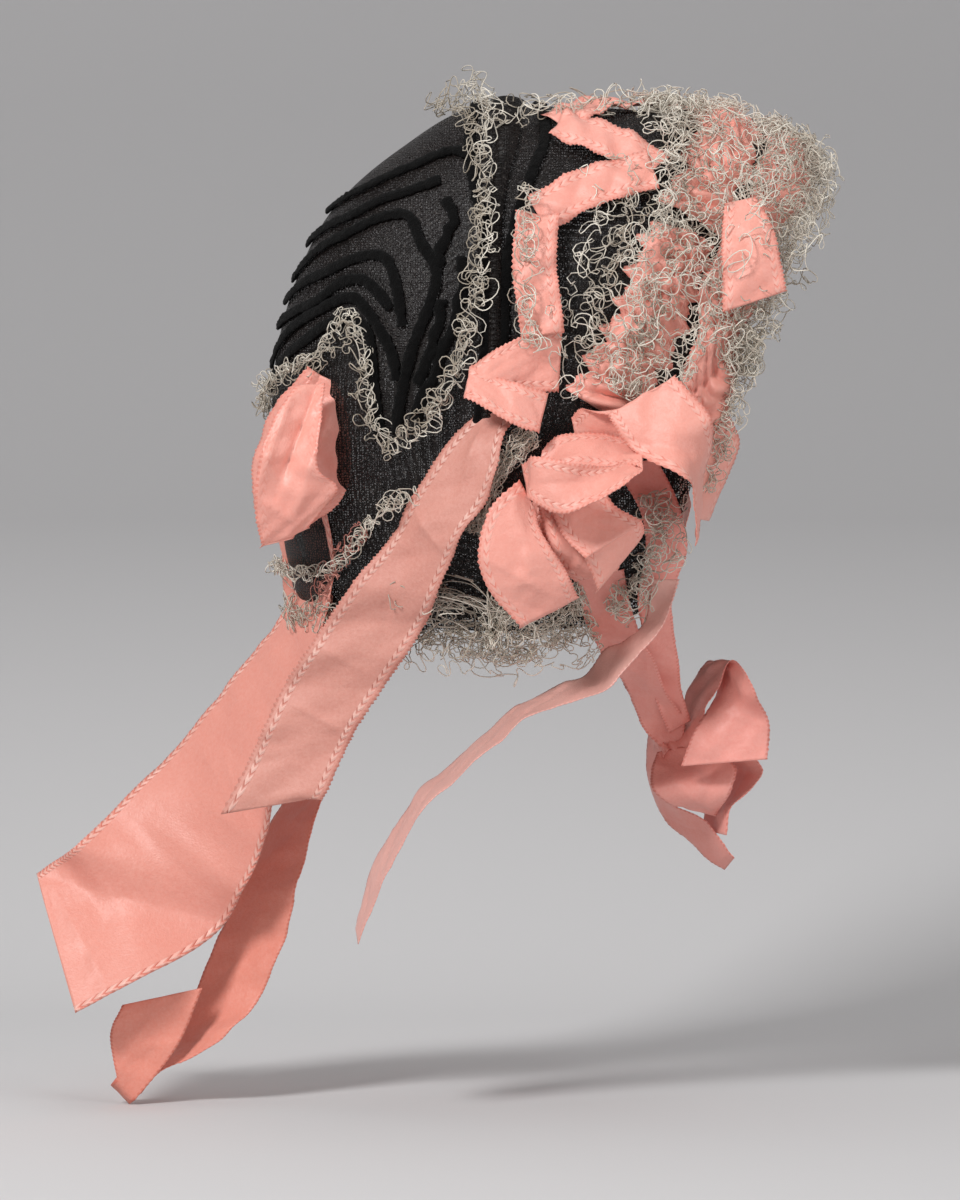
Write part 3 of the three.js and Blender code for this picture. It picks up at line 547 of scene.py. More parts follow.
def addPicots(grid, depth=picot["depth"], seed=5):
    # each edge's little teeth, some of them worn
    uneven = np.random.default_rng(seed).uniform(0.35, 1.25, len(grid))
    teeth = np.where(np.arange(len(grid)) % 2 == 0, depth * uneven, 0.0)[:, None]
    for edgeColumn, inner in ((0, 1), (-1, -2)):
        grid[:, edgeColumn] += unit(grid[:, edgeColumn] - grid[:, inner]) * teeth
    return grid


def ribbonPiece(name, rows, side, material, slotName, soft=0.0006, width=None, columns=21, held="folded",
                seed=1, pleats=(), facets=(), teeth=picot["depth"], node=None):
    width = width or ribbonSize["width"]
    grid, uv, facing, wide, along = ribbonGrid(rows, side, width, columns)
    grid = addPicots(wrinkle(grid, side, facing, wide, along, soft, seed, pleats, facets), teeth, seed)
    piece = clothFromGrid(name + "_silk", grid, material, uv, ribbonSize["thickness"])
    settlePiece(piece, slotName, node)


bows = {
    "forehead_end": [
        [158, 96, 186, 90, 0.98, 0, 0.36],
        [154, 130, 202, 118, 1.1, 0, 0.61, 0.03],
        [155, 160, 209, 150, 1.15, 0, 0.68, 0.04],
        [155, 201, 215, 181, 1.14, 0, 0.78, 0.02],
    ],
    "flap": [
        [0, 212, -4, 282, 1.03, 1, 0.75],
        [-38, 223, -44, 279, 1.08, 1, 0.65],
        [-66, 239, -73, 274, 1.12, 1, 0.5],
        [-88, 254, -95, 282, 1.15, 1, 0.45, 0, 1],
        [-62, 264, -68, 298, 1.2, 1, 0.5],
        [-38, 272, -45, 309, 1.23, 1, 0.5],
        [-14, 280, -23, 317, 1.18, 1, 0.5],
    ],
    "cheek_loop": [
        [10, 310, 14, 330, 1.05, 0, 0.4],
        [28, 300, 60, 318, 1.12, 0, 0.7],
        [44, 300, 108, 264, 1.22, 0, 0.9, 0, 1],
        [70, 330, 137, 305, 1.3, 0, 1, 0.06],
        [102, 355, 140, 330, 1.3, -1, 0.9, 0.05],
        [119, 370, 132, 360, 1.24, -1, 0.8],
        [122, 426, 126, 424, 1.14, -1, 0.6],
    ],
    "upper_loop": [
        [-20, 336, -24, 360, 1.12, 0, 0.3],
        [-3, 320, 0, 352, 1.17, 1, 0.5],
        [40, 320, 44, 350, 1.2, 1, 0.55],
        [76, 330, 76, 352, 1.35, 1, 0.6],
        [44, 349, 40, 374, 1.5, 1, 0.6],
        [11, 351, 1, 388, 1.54, 0, 0.6],
        [-26, 345, -32, 374, 1.46, 0, 0.5],
        [-38, 357, -36, 368, 1.3, 0, 0.35],
    ],
    "lower_loop": [
        [-40, 366, -28, 388, 1.3, 0, 0.4],
        [-67, 390, -26, 406, 1.36, 0, 0.6],
        [-80, 432, -9, 434, 1.38, 0, 0.9, 0.06],
        [-72, 465, 3, 451, 1.34, 0, 0.95, 0.06],
        [-43, 499, 12, 473, 1.25, 0, 0.75, 0, 1],
        [-66, 462, -4, 448, 1.15, 0, 0.8],
        [-60, 425, -16, 425, 1.14, 0, 0.6],
        [-40, 385, -22, 385, 1.12, 0, 0.4],
    ],
    "inner_end": [
        [-20, 362, 6, 356, 1.16, 0, 0.4],
        [3, 414, 48, 390, 1.3, 0, 0.7],
        [22, 436, 74, 402, 1.34, 0, 0.8, 0, 1],
        [36, 461, 74, 420, 1.24, 0, 0.8],
        [34, 470, 56, 444, 1.2, 0, 0.5],
    ],
    "temple_loop": [
        [130, 282, 149, 286, 0.92, -1, 0.7],
        [128, 330, 173, 325, 0.91, -1, 0.8],
        [128, 368, 160, 367, 0.88, -1, 0.8],
        [130, 402, 144, 406, 0.84, -1, 0.7],
    ],
}
backBow = {
    "back_bow_outer_petal": [
        [-244, 258, -238, 262, 0.66, 0, 0.2],
        [-284, 298, -248, 302, 0.64, 1, 0.7],
        [-301, 340, -255, 348, 0.58, 1, 0.85],
        [-304, 372, -258, 388, 0.56, 1, 0.85],
        [-301, 405, -258, 414, 0.58, 1, 0.8],
        [-294, 432, -264, 424, 0.6, 1, 0.5],
    ],
    "back_bow_front_petal": [
        [-238, 262, -226, 268, 0.7, 0, 0.3],
        [-262, 300, -213, 298, 0.72, 0, 0.65],
        [-268, 345, -211, 350, 0.72, 0, 0.8],
        [-272, 385, -222, 386, 0.76, 0, 0.75],
        [-290, 428, -250, 410, 0.84, 0, 0.6, 0, 1],
        [-298, 392, -219, 374, 0.94, 0, 1],
        [-290, 350, -242, 352, 0.98, 0, 0.7, 0.08],
        [-275, 305, -239, 305, 0.94, 0, 0.55, 0.08],
        [-250, 272, -238, 270, 0.84, 0, 0.3],
    ],
}
streamers = {
    "side_streamer": [
        [-70, 275, -40, 295, 1.0, 0, 0.5],
        [-85, 298, -55, 316, 1.06, 1, 0.55],
        [-106, 324, -65, 353, 1.1, 1, 0.8],
        [-128, 353, -75, 383, 1.09, 1, 0.9],
        [-147, 383, -96, 414, 1.05, 1, 0.9],
        [-164, 415, -111, 442, 0.99, 1, 0.9],
        [-198, 459, -132, 500, 0.93, 0, 0.97],
        [-218, 490, -148, 526, 0.88, 0, 1],
        [-245, 531, -177, 568, 0.84, 0, 1],
        [-271, 570, -202, 607, 0.81, 0, 1],
        [-291, 613, -218, 638, 0.79, 0, 1],
        [-308, 654, -238, 677, 0.77, 0, 1],
        [-334, 695, -242, 680, 0.75, 0, 1.15],
    ],
    "narrow_back_streamer": [
        [-280, 424, -262, 428, 0.2, 1, 0.5],
        [-274, 500, -246, 508, 0.08, 1, 0.8],
        [-268, 562, -228, 566, 0.04, 1, 1],
        [-266, 610, -226, 610, 0.02, 1, 1],
        [-277, 690, -237, 685, 0, 1, 1],
        [-306, 746, -254, 739, 0, 1, 1],
        [-335, 811, -272, 815, 0, 1, 1],
        [-364, 882, -297, 880, 0, 1, 1],
        [-397, 951, -339, 936, 0.02, 1, 1],
        [-440, 966, -422, 984, 0.1, 0, 0.33, 0, 1],
        [-449, 922, -380, 930, 0.15, 0, 0.85],
        [-436, 892, -358, 876, 0.17, 0, 1],
    ],
    "cheek_streamer": [
        [88, 462, 112, 462, 0.85, 0, 0.35],
        [84, 500, 104, 492, 0.84, 1, 0.4],
        [60, 524, 80, 530, 0.83, 1, 0.5],
        [42, 534, 59, 552, 0.82, 1, 0.6],
        [22, 559, 39, 571, 0.8, 1, 0.8],
        [-14, 574, -14, 586, 0.78, 1, 1],
        [-50, 595, -48, 606, 0.77, 1, 1],
        [-84, 625, -77, 632, 0.76, 1, 1],
        [-116, 654, -109, 660, 0.75, 1, 1],
        [-140, 673, -133, 683, 0.75, 1, 1],
        [-157, 700, -149, 705, 0.74, 1, 1],
        [-172, 724, -160, 728, 0.73, 1, 1],
        [-188, 751, -172, 751, 0.72, 1, 1],
        [-193, 772, -181, 772, 0.71, 1, 1],
        [-203, 811, -199, 818, 0.7, 1, 1],
    ],
}
broadStreamer = [
    [-266, 405, -240, 395, 0.56, 1, 0.4],
    [-261, 450, -229, 450, 0.47, 1, 0.45],
    [-283, 503, -238, 510, 0.36, 1, 0.55],
    [-320, 552, -255, 580, 0.28, 1, 0.7],
    [-360, 605, -275, 640, 0.23, 1, 0.85],
    [-397, 650, -285, 690, 0.2, 1, 1],
    [-428, 679, -298, 740, 0.18, 1, 1],
    [-455, 708, -315, 775, 0.16, 1, 1],
    [-484, 735, -339, 817, 0.14, 1, 1],
    [-505, 753, -405, 865, 0.12, 1, 1],
    [-524, 768, -469, 907, 0.1, 1, 1],
]
chinStrap = [
    [14, 462, 60, 452, 0.87, 0, 0.58],
    [22, 500, 66, 486, 0.775, 0, 0.57],
    [36, 532, 79, 522, 0.68, 1, 0.6],
    [54, 556, 92, 546, 0.55, 1, 0.6],
    [72, 589, 104, 578, 0.37, 1, 0.6],
    [90, 616, 117, 608, 0.2, 0, 0.5],
    [106, 636, 120, 628, 0.12, 0, 0.3],
]
cheekTie = [
    [50, 350, 92, 344, 0.968, -1, 0.529],
    [77, 397, 114, 390, 0.9, -1, 0.472],
    [82, 436, 122, 434, 0.832, -1, 0.518],
    [74, 478, 108, 476, 0.76, -1, 0.44],
    [84, 512, 104, 500, 0.68, 0, 0.4],
    [93, 550, 107, 543, 0.5, 0, 0.4],
    [103, 590, 114, 583, 0.32, 0, 0.35],
    [114, 618, 124, 612, 0.18, 0, 0.3],
]
chinBow = {
    "chin_upper_loop": [
        [111, 640, 124, 638, 0.12, 0, 0.3],
        [119, 612, 140, 606, 0.16, 1, 0.7],
        [130, 578, 154, 574, 0.2, 1, 0.85],
        [146, 551, 168, 547, 0.28, 1, 0.8],
        [156, 556, 181, 554, 0.38, 1, 0.85],
        [154, 582, 189, 576, 0.44, 1, 0.95],
        [140, 614, 197, 606, 0.46, 0, 0.9],
        [120, 650, 202, 643, 0.46, 0, 1.05],
    ],
    "chin_lower_loop": [
        [100, 640, 118, 636, 0.14, 0, 0.3],
        [90, 660, 172, 650, 0.24, 0, 1],
        [94, 676, 168, 674, 0.34, 0, 0.95, 0.06],
        [114, 694, 158, 694, 0.3, 0, 0.6, 0.08],
        [134, 704, 150, 709, 0.16, 0, 0.3],
    ],
    "chin_tail": [
        [150, 646, 190, 640, 0.2, 1, 0.8],
        [168, 656, 201, 658, 0.16, 1, 0.8],
        [158, 684, 184, 680, 0.12, 1, 0.8],
        [146, 708, 168, 696, 0.1, 1, 0.8],
        [146, 722, 165, 722, 0.1, 1, 0.7],
    ],
    "chin_back_loop": [
        [88, 616, 108, 636, 0.06, 1, 0.7],
        [88, 646, 104, 654, 0, 1, 0.7],
        [91, 680, 106, 680, -0.04, 1, 0.7],
        [106, 712, 120, 696, -0.04, 1, 0.7],
        [132, 736, 146, 712, 0, 1, 0.7],
        [150, 752, 162, 730, 0.02, 1, 0.6],
        [166, 762, 174, 747, 0.02, 1, 0.5],
    ],
}

# Where a ribbon is creased, on the side view: a line, how high the crease stands and how wide it is, in squares
pleats = {
    "side_streamer": [((-271, 585, -206, 617), 0.0020, 5), ((-142, 396, -114, 437), 0.0016, 4),
                      ((-75, 306, -98, 373), 0.0022, 4), ((-240, 530, -190, 556), 0.0010, 6),
                      ((-160, 440, -175, 520), -0.0010, 8)],
    "broad_streamer": [((-500, 790, -440, 880), 0.0012, 8), ((-440, 790, -470, 850), -0.0010, 9),
                       ((-360, 640, -300, 720), 0.0009, 12)],
    "narrow_back_streamer": [((-300, 800, -330, 880), 0.0012, 8), ((-400, 890, -440, 960), 0.0012, 8)],
    "back_bow_front_petal": [((-236, 262, -279, 382), -0.0042, 6), ((-256, 266, -297, 372), 0.0034, 8),
                             ((-224, 290, -262, 402), 0.0034, 8), ((-300, 380, -262, 405), 0.0030, 7)],
    "back_bow_outer_petal": [((-262, 300, -272, 375), -0.0022, 6), ((-290, 345, -275, 400), 0.0012, 6)],
    "lower_loop": [((-70, 440, -10, 470), 0.0014, 6), ((-40, 400, -30, 470), 0.0012, 5),
                   ((-60, 480, -30, 400), -0.0010, 7)],
    "upper_loop": [((-20, 345, 60, 340), 0.0014, 5), ((-30, 365, 40, 362), -0.0012, 6)],
    "cheek_loop": [((70, 300, 120, 380), 0.0014, 6), ((100, 280, 128, 360), -0.0010, 6)],
    "forehead_end": [((180, 110, 196, 190), 0.0008, 6), ((160, 150, 200, 160), -0.0006, 8)],
    "flap": [((-60, 262, -40, 300), 0.0010, 5), ((-30, 280, -20, 310), -0.0008, 5)],
    "chin_upper_loop": [((150, 590, 196, 610), 0.0012, 6), ((165, 560, 185, 640), -0.0012, 8)],
    "chin_lower_loop": [((100, 655, 150, 700), 0.0014, 7), ((150, 650, 140, 700), -0.0014, 6)],
}

# Where a ribbon is bent along a line: what lies on one side of it turns up by the slope
facets = {
    "broad_streamer": [((-332, 811, -524, 768), 0.30), ((-470, 900, -462, 790), 0.10),
                       ((-380, 700, -300, 640), -0.06)],
    "side_streamer": [((-206, 617, -271, 585), 0.22), ((-114, 437, -142, 396), -0.10)],
    "narrow_back_streamer": [((-300, 880, -372, 860), 0.12)],
    "cheek_loop": [((128, 300, 70, 340), 0.12)],
    "lower_loop": [((-8, 440, -78, 452), 0.16)],
    "chin_upper_loop": [((200, 590, 150, 612), 0.16)],
    "chin_lower_loop": [((170, 668, 100, 672), -0.16)],
}


def ribbon(name, rows, side, material, seed, **more):
    # one ribbon that stands for the solid of the same name
    key = name.removeprefix("right_").removeprefix("left_")
    ribbonPiece(name, rows, side, material, more.pop("slotName", "silk"), seed=seed, node=name,
                pleats=pleats.get(key, ()), facets=facets.get(key, ()), **more)


for seed, (name, rows) in enumerate(bows.items(), 20):
    ribbon("right_" + name, rows, right, silk, seed, soft=0.0007)
for seed, name in enumerate(["flap", "cheek_loop", "upper_loop", "lower_loop"], 40):
    ribbon("left_" + name, bows[name], left, silk, seed, soft=0.0007)
for seed, (name, rows) in enumerate(backBow.items(), 50):
    ribbon(name, rows, right, plainSilk, seed, soft=0.0010)
ribbon("side_streamer", streamers["side_streamer"], right, thinShadedSilk, 60, held="hung")
ribbon("narrow_back_streamer", streamers["narrow_back_streamer"], right, shadowSideSilk, 61, held="hung", teeth=0.0003)
ribbon("cheek_streamer", streamers["cheek_streamer"], right, paleSilk, 62, held="hung", teeth=0.0005)
ribbon("broad_streamer", broadStreamer, right, broadSilk, 70, width=ribbonSize["broad"], columns=41, held="hung",
       soft=0.0005, teeth=0.0002)
chinPieces = [("right_chin_strap", chinStrap, right), ("left_chin_strap", chinStrap, left),
              ("right_cheek_tie", cheekTie, right)]
for seed, (name, rows, side) in enumerate(chinPieces, 80):
    ribbon(name, rows, side, shadedSilk, seed, slotName="shaded_silk", teeth=0.0004)
for seed, (name, rows) in enumerate(chinBow.items(), 90):
    ribbon(name, rows, right, shadedSilk, seed, slotName="shaded_silk", teeth=0.0005)
bowHeart = [[-30, 362, 14, 350, 1.18, 0, 0.6], [-22, 392, 40, 376, 1.24, 0, 0.8], [-16, 420, 58, 402, 1.25, 0, 0.9],
            [-6, 444, 60, 428, 1.2, 0, 0.85], [12, 462, 52, 452, 1.14, 0, 0.5]]
for sideName, side in sides:
    ribbonPiece(sideName + "_bow_heart", bowHeart, side, silk, "silk", soft=0.0022, held="gathered", seed=33)
print("ribbons made")

# The zigzag ribbon over the right of the crown's front, folded to half its width
zigzag = {
    "width": ribbonSize["width"] / 2, "columns": 11,
    "legs": [  # how high each leg starts above the cap, and its places
        (0.0020, [[143, 8], [80, 2], [25, 6], [-4, 22]]),
        (0.0036, [[-4, 24], [40, 38], [80, 60], [90, 68]]),
        (0.0052, [[88, 70], [40, 81], [0, 98], [-24, 112]]),
        (0.0068, [[-24, 112], [-27, 160], [-22, 200], [-19, 225]]),
    ],
}


def stripGrid(route, spacing, columns, width, heightAt):
    line, across, along = capFrames(route, spacing)
    share = along / along[-1]
    u = np.linspace(-0.5, 0.5, columns)
    wide = np.broadcast_to(width(share) if callable(width) else width, share.shape)
    points = line[:, None] + across[:, None] * (u[None, :, None] * wide[:, None, None])
    lift = heightAt(along[:, None], u[None, :], share[:, None]) * np.ones(points.shape[:2])
    grid = onCap(points, lift)
    return grid, clothUv(u, wide, along)


def zigzagHeight(leg, lift):
    def height(along, u, share):
        crumple = 0.0016 * np.sin(along / 0.0035 + 6 * u + leg) * np.sin(along / 0.009 + 2 * leg)
        return lift + 0.0010 + crumple + 0.0014 * np.abs(np.sin(along / 0.006 - 3 * u))

    return height


for leg, (lift, places) in enumerate(zigzag["legs"], 1):
    grid, uv = stripGrid(sideRoute(places, right), ribbonSize["step"], zigzag["columns"], zigzag["width"],
                         zigzagHeight(leg, lift))
    piece = clothFromGrid(f"zigzag_leg_{leg}_silk", addPicots(grid), silk, uv, ribbonSize["thickness"])
    settlePiece(piece, "silk", f"zigzag_leg_{leg}")
print("zigzag ribbon made")

# Puffed ruches under the thread rows
ruche = {
    "width": 0.024, "templeShare": 1.35, "crestWidth": 0.030, "step": 0.0010, "columns": 23,
    "lift": 0.0010, "puff": 0.0040, "gather": 0.0075,
    "face": [[126, 330], [140, 275], [150, 225], [163, 180], [188, 122], [212, 84], [222, 40], [222, 18]],
    "temple": [[36, 296], [56, 262], [82, 215], [102, 165], [118, 125]],
    "crest": [[124, 112], [144, 78], [158, 46], [164, 16]],
}


def rucheHeight(along, u, share):
    # plump puffs that change sides, with small sharp gathers at both edges
    puffs = np.abs(np.sin(math.pi * along / ruche["gather"] / 1.7 + 2.2 * np.sin(along / 0.013) + 5 * u))
    folds = np.abs(np.sin(along / 0.0036 - 8 * u + 2.6 * np.sin(along / 0.017 + 5 * u))) * 0.0034
    gathers = np.abs(np.sin(along / 0.0011 + 9 * u)) * np.abs(u) * 0.0012
    return ruche["lift"] + (ruche["puff"] * puffs + folds) * (1 - 3.2 * u * u) + gathers


def ruchePiece(name, route, width, node, slotName="silk"):
    def uneven(share):
        return width * (1 + 0.14 * np.sin(share * 37) + 0.10 * np.sin(share * 71 + 1))

    grid, uv = stripGrid(route, ruche["step"], ruche["columns"], uneven, rucheHeight)
    piece = clothFromGrid(name + "_silk", addPicots(grid), silk, uv, ribbonSize["thickness"])
    settlePiece(piece, slotName, node)


ruchePiece("face_ruche", overRoute(ruche["face"]), ruche["width"], "face_ruche", "shaded_silk")
for sideName, side in sides:
    name = sideName + "_temple_ruche"
    ruchePiece(name, sideRoute(ruche["temple"], side), ruche["width"] * ruche["templeShare"], name)
ruchePiece("crest_ruche", overRoute(ruche["crest"]), ruche["crestWidth"], None)
print("ruches made")

# Knots
knotSize = {"turns": 48, "rings": 26, "gather": 0.10, "fromEdge": 0.014}
for name in ("right_bow_knot", "left_bow_knot", "chin_knot"):
    low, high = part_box(name)
    centre, half = np.array((low + high) / 2), np.array((high - low) / 2)
    sway = np.linspace(0, math.pi, knotSize["rings"])[:, None]
    turn = np.linspace(0, 2 * math.pi, knotSize["turns"] + 1)[None, :-1]
    ball = np.stack([np.sin(sway) * np.cos(turn), np.sin(sway) * np.sin(turn),
                     np.cos(sway) * np.ones(turn.shape)], -1)
    folded = np.abs(np.sin(4 * turn + 2.5 * np.cos(sway)))[..., None]
    gathers = 1 - knotSize["gather"] * folded * np.sin(sway)[..., None]
    points = (centre + ball * half * gathers).reshape(-1, 3)
    uv = np.stack([np.full(len(points), knotSize["fromEdge"]), np.zeros(len(points))], axis=1)
    knot = addMesh(name + "_silk", points, ringFaces(knotSize["rings"], knotSize["turns"]), shadedSilk, uv)
    mergeDoubles(knot)
    settlePiece(knot, "shaded_silk", name)
print("knots made")

# The net hood
hoodSize = {"turns": 180, "rings": 44, "flatWidth": 0.30}
hoodOutline = [
    [-20, -60], [300, -60], [300, 40], [240, 40], [232, 80], [205, 120], [178, 180], [162, 240], [145, 310],
    [120, 390], [95, 460], [80, 495], [40, 508], [-40, 516], [-130, 512], [-210, 538], [-258, 535], [-360, 535],
    [-360, -60],
]


def edgeReach(turn):
    # how far the cloth goes from the middle in the side view, before its edge
    corners = np.array([[x * squareX, -d * squareZ] for x, d in hoodOutline]) - middle[[0, 2]]
    ray = np.array([math.cos(turn), math.sin(turn)])
    best = 9.0
    for a, b in zip(corners, np.roll(corners, -1, axis=0)):
        edge = b - a
        cross = ray[0] * edge[1] - ray[1] * edge[0]
        if abs(cross) < 1e-12:
            continue
        far = (a[0] * edge[1] - a[1] * edge[0]) / cross
        share = (a[0] * ray[1] - a[1] * ray[0]) / cross
        if far > 0 and 0 <= share <= 1:
            best = min(best, far)
    return best


def hoodGrid(side, turns, rings):
    rows = []
    for turn in np.linspace(0, 2 * math.pi, turns, endpoint=False):
        x, z = math.cos(turn), math.sin(turn)
        whole = float(reachAt(np.array(x * cap["length"]), np.array(z * cap["height"]))) * cap["length"]
        reach = min(whole, edgeReach(turn))
        least = math.acos(min(1.0, (reach / whole) ** (cap["power"] / 2)))
        sway = np.linspace(least, math.pi / 2, rings)
        flat = whole * np.maximum(np.cos(sway), 0) ** (2 / cap["power"])
        y = side * halfWidth * np.sin(sway) ** (2 / cap["power"])
        rows.append(np.stack([middle[0] + flat * x, y, middle[2] + flat * z], axis=1))
    return np.array(rows)


def hoodPiece():
    turns, rings = hoodSize["turns"], hoodSize["rings"]
    points, faces = [], []
    for side in (right, left):
        grid = hoodGrid(side, turns, rings)
        i, k = np.meshgrid(np.arange(turns), np.arange(rings - 1), indexing="ij")
        a = (i * rings + k).ravel()
        b = (((i + 1) % turns) * rings + k).ravel()
        quads = np.stack([a, a + 1, b + 1, b], axis=1)
        faces.append((quads if side == right else quads[:, ::-1]) + len(points) * turns * rings)
        points.append(grid.reshape(-1, 3))
    piece = addMesh("black_net_hood", np.concatenate(points), np.concatenate(faces), net)
    mergeDoubles(piece)
    return piece


hood = hoodPiece()
settlePiece(hood, "net", "net_crown", "front_band")

# Velvet bands
velvetSize = {
    "width": 0.0052, "thickness": 0.0021, "lift": 0.0004, "step": 0.0016, "around": 12,
    "uneven": 0.10, "sway": 0.0007, "swayKnots": 12, "rough": 0.12,
}
chevrons = {
    "upper_back_band": [[-90, 50], [-106, 45], [-148, 60], [-195, 83], [-223, 106]],
    "second_back_band": [[-118, 73], [-160, 87], [-207, 108], [-244, 139]],
    "first_chevron": [[-162, 318], [-146, 244], [-125, 167], [-139, 134], [-149, 109], [-169, 109], [-218, 132],
                      [-263, 169]],
    "second_chevron": [[-154, 215], [-162, 174], [-173, 150], [-195, 149], [-239, 167], [-268, 192]],
    "third_chevron": [[-169, 200], [-180, 178], [-192, 167], [-211, 170], [-246, 195], [-274, 216]],
    "fourth_chevron": [[-161, 268], [-167, 237], [-188, 202], [-205, 188], [-242, 203], [-274, 230], [-284, 254]],
    "fifth_chevron": [[-176, 325], [-186, 260], [-195, 217], [-228, 213], [-249, 227], [-272, 248], [-287, 280]],
    "crown_edge_velvet": [[-86, 350], [-74, 240], [-76, 111], [-83, 92], [-90, 42], [-84, 1], [-84, -4]],
    "front_velvet": [[-64, 350], [-57, 225], [-53, 148], [-43, 101], [-27, 57], [-18, 34], [-20, 3], [-20, -4]],
}
sideBands = {
    "short_side_band": [[-113, 92], [-106, 111], [-113, 129], [-122, 158]],
    "first_side_band": [[-118, 190], [-120, 213], [-127, 237], [-140, 272]],
    "second_side_band": [[-99, 148], [-97, 185], [-113, 237], [-127, 267], [-143, 305]],
}


def velvetPiece(name, route):
    line, across, along = capFrames(route, velvetSize["step"])
    turnsOver = np.linspace(0, 2 * math.pi, velvetSize["around"] + 1)[:-1]
    u = np.cos(turnsOver) * velvetSize["width"] / 2
    rise = velvetSize["lift"] + velvetSize["thickness"] * (0.5 + 0.5 * np.sin(turnsOver))
    rng = np.random.default_rng(len(name))
    wobble = 1 + velvetSize["uneven"] * rng.normal(size=(len(line), 1))
    knots = velvetSize["swayKnots"]
    sway = smoothThrough(np.linspace(0, along[-1], knots), rng.normal(0, velvetSize["sway"], knots), along)[:, None]
    points = line[:, None] + across[:, None] * (u[None, :] * wobble + sway)[..., None]
    grid = onCap(points, rise[None, :] * (1 + velvetSize["rough"] * rng.normal(size=points.shape[:2])))
    rows, columns = grid.shape[:2]
    lids = [list(range(columns)), list(range(rows * columns - 1, (rows - 1) * columns - 1, -1))]
    faces = ringFaces(rows, columns).tolist() + lids
    settlePiece(addMesh(name + "_pile", grid.reshape(-1, 3), faces, velvet), "velvet", name)


for name, places in chevrons.items():
    velvetPiece(name, overRoute(places))
for name, places in sideBands.items():
    for sideName, side in sides:
        velvetPiece(sideName + "_" + name, sideRoute(places, side))
print("velvet bands made")

# The gathered net strip between the crown's two edge bands
strip = {
    "places": [[-76, 330], [-66, 240], [-64, 111], [-60, 72], [-54, 40], [-52, 8], [-52, -4]],
    "width": 0.018, "narrow": 0.0060, "flatWidth": 0.020, "step": 0.0006, "columns": 15,
    "lift": 0.0022, "puff": 0.0022, "gather": 0.0028,
}


def stripWidth(share):
    return strip["narrow"] + (strip["width"] - strip["narrow"]) * np.maximum(0, 1 - np.abs(share - 0.5) / 0.2)


def stripHeight(along, u, share):
    folds = 0.5 + 0.5 * np.sin(2 * np.pi * along / strip["gather"] + 3 * np.sin(along / 0.009))
    return strip["lift"] + strip["puff"] * (1 - 4 * u * u) * (0.45 + 0.55 * folds)


grid, uv = stripGrid(overRoute(strip["places"]), strip["step"], strip["columns"], stripWidth, stripHeight)
gathered = clothFromGrid("gathered_net_strip", grid, gatheredNet, uv, 0)
settlePiece(gathered, "net", "gathered_strip")
print("gathered strip made")

# Crimped thread rows: each is a bundle of threads that loop as they run along the row
threadSize = {"radius": 0.00030, "sides": 3, "step": 0.0009, "crimp": 2.5, "window": 15}
even = [1, 1]  # a row whose height or width stays the same from its ends to the crest
frizzRows = {
    "front_frizz": {
        "places": [[170, 262], [172, 230], [176, 190], [188, 150], [208, 110], [225, 70], [236, 36], [236, 20]],
        "width": 0.044, "height": 0.024, "base": 0.0030, "strands": 22, "loop": 1.35,
        "shape": [0.35, 0.9, 1.4, 1.2, 0.45, 0.2], "spread": [0.35, 0.7, 1, 1, 0.9, 0.9],
    },
    "temple_frizz": {
        "places": [[60, 285], [88, 230], [110, 180], [130, 130], [142, 85], [138, 40], [128, 12], [128, -4]],
        "width": 0.058, "height": 0.0150, "base": 0.0036, "strands": 20, "loop": 1.35,
        "shape": [0.6, 1.1, 1.1, 1, 0.6, 0.35], "spread": [0.6, 1, 1, 1, 1, 1],
    },
    "crown_edge_frizz": {
        "places": [[-150, 335], [-112, 290], [-88, 235], [-76, 190], [-72, 140], [-66, 90], [-72, 50], [-72, 10],
                   [-72, -8]],
        "width": 0.011, "height": 0.005, "base": 0.0046, "strands": 4, "loop": 1.45,
        "shape": [1, 1, 1, 1, 1.2, 4.2], "spread": [1, 1, 1, 1, 1.5, 5],
    },
    "back_frizz": {
        "places": [[-160, 340], [-184, 300], [-193, 240], [-206, 202], [-216, 222], [-240, 250], [-282, 275],
                   [-296, 300]],
        "width": 0.009, "height": 0.005, "base": 0.0028, "strands": 4, "loop": 1.15,
    },
    "lower_back_frizz": {
        "places": [[-140, 375], [-170, 395], [-195, 425], [-215, 450], [-250, 460], [-290, 465]],
        "width": 0.009, "height": 0.005, "base": 0.0018, "strands": 3, "loop": 1.25,
        "spread": [1, 1, 1, 0.6],
    },
    "nape_frizz": {
        "places": [[36, 508], [-14, 522], [-75, 534], [-112, 512], [-170, 524], [-215, 532], [-262, 530],
                   [-275, 528]],
        "width": 0.038, "height": 0.010, "base": 0.0018, "strands": 26, "loop": 1.05, "shift": -0.011,
        "shape": [1, 1, 1, 0.7], "spread": [1, 1, 1, 0.6],
    },
}
cheekFrizz = {
    "places": [[98, 372], [103, 408], [94, 442], [76, 474], [54, 496]],
    "width": 0.022, "height": 0.007, "base": 0.0046, "strands": 8, "loop": 1.25,
}
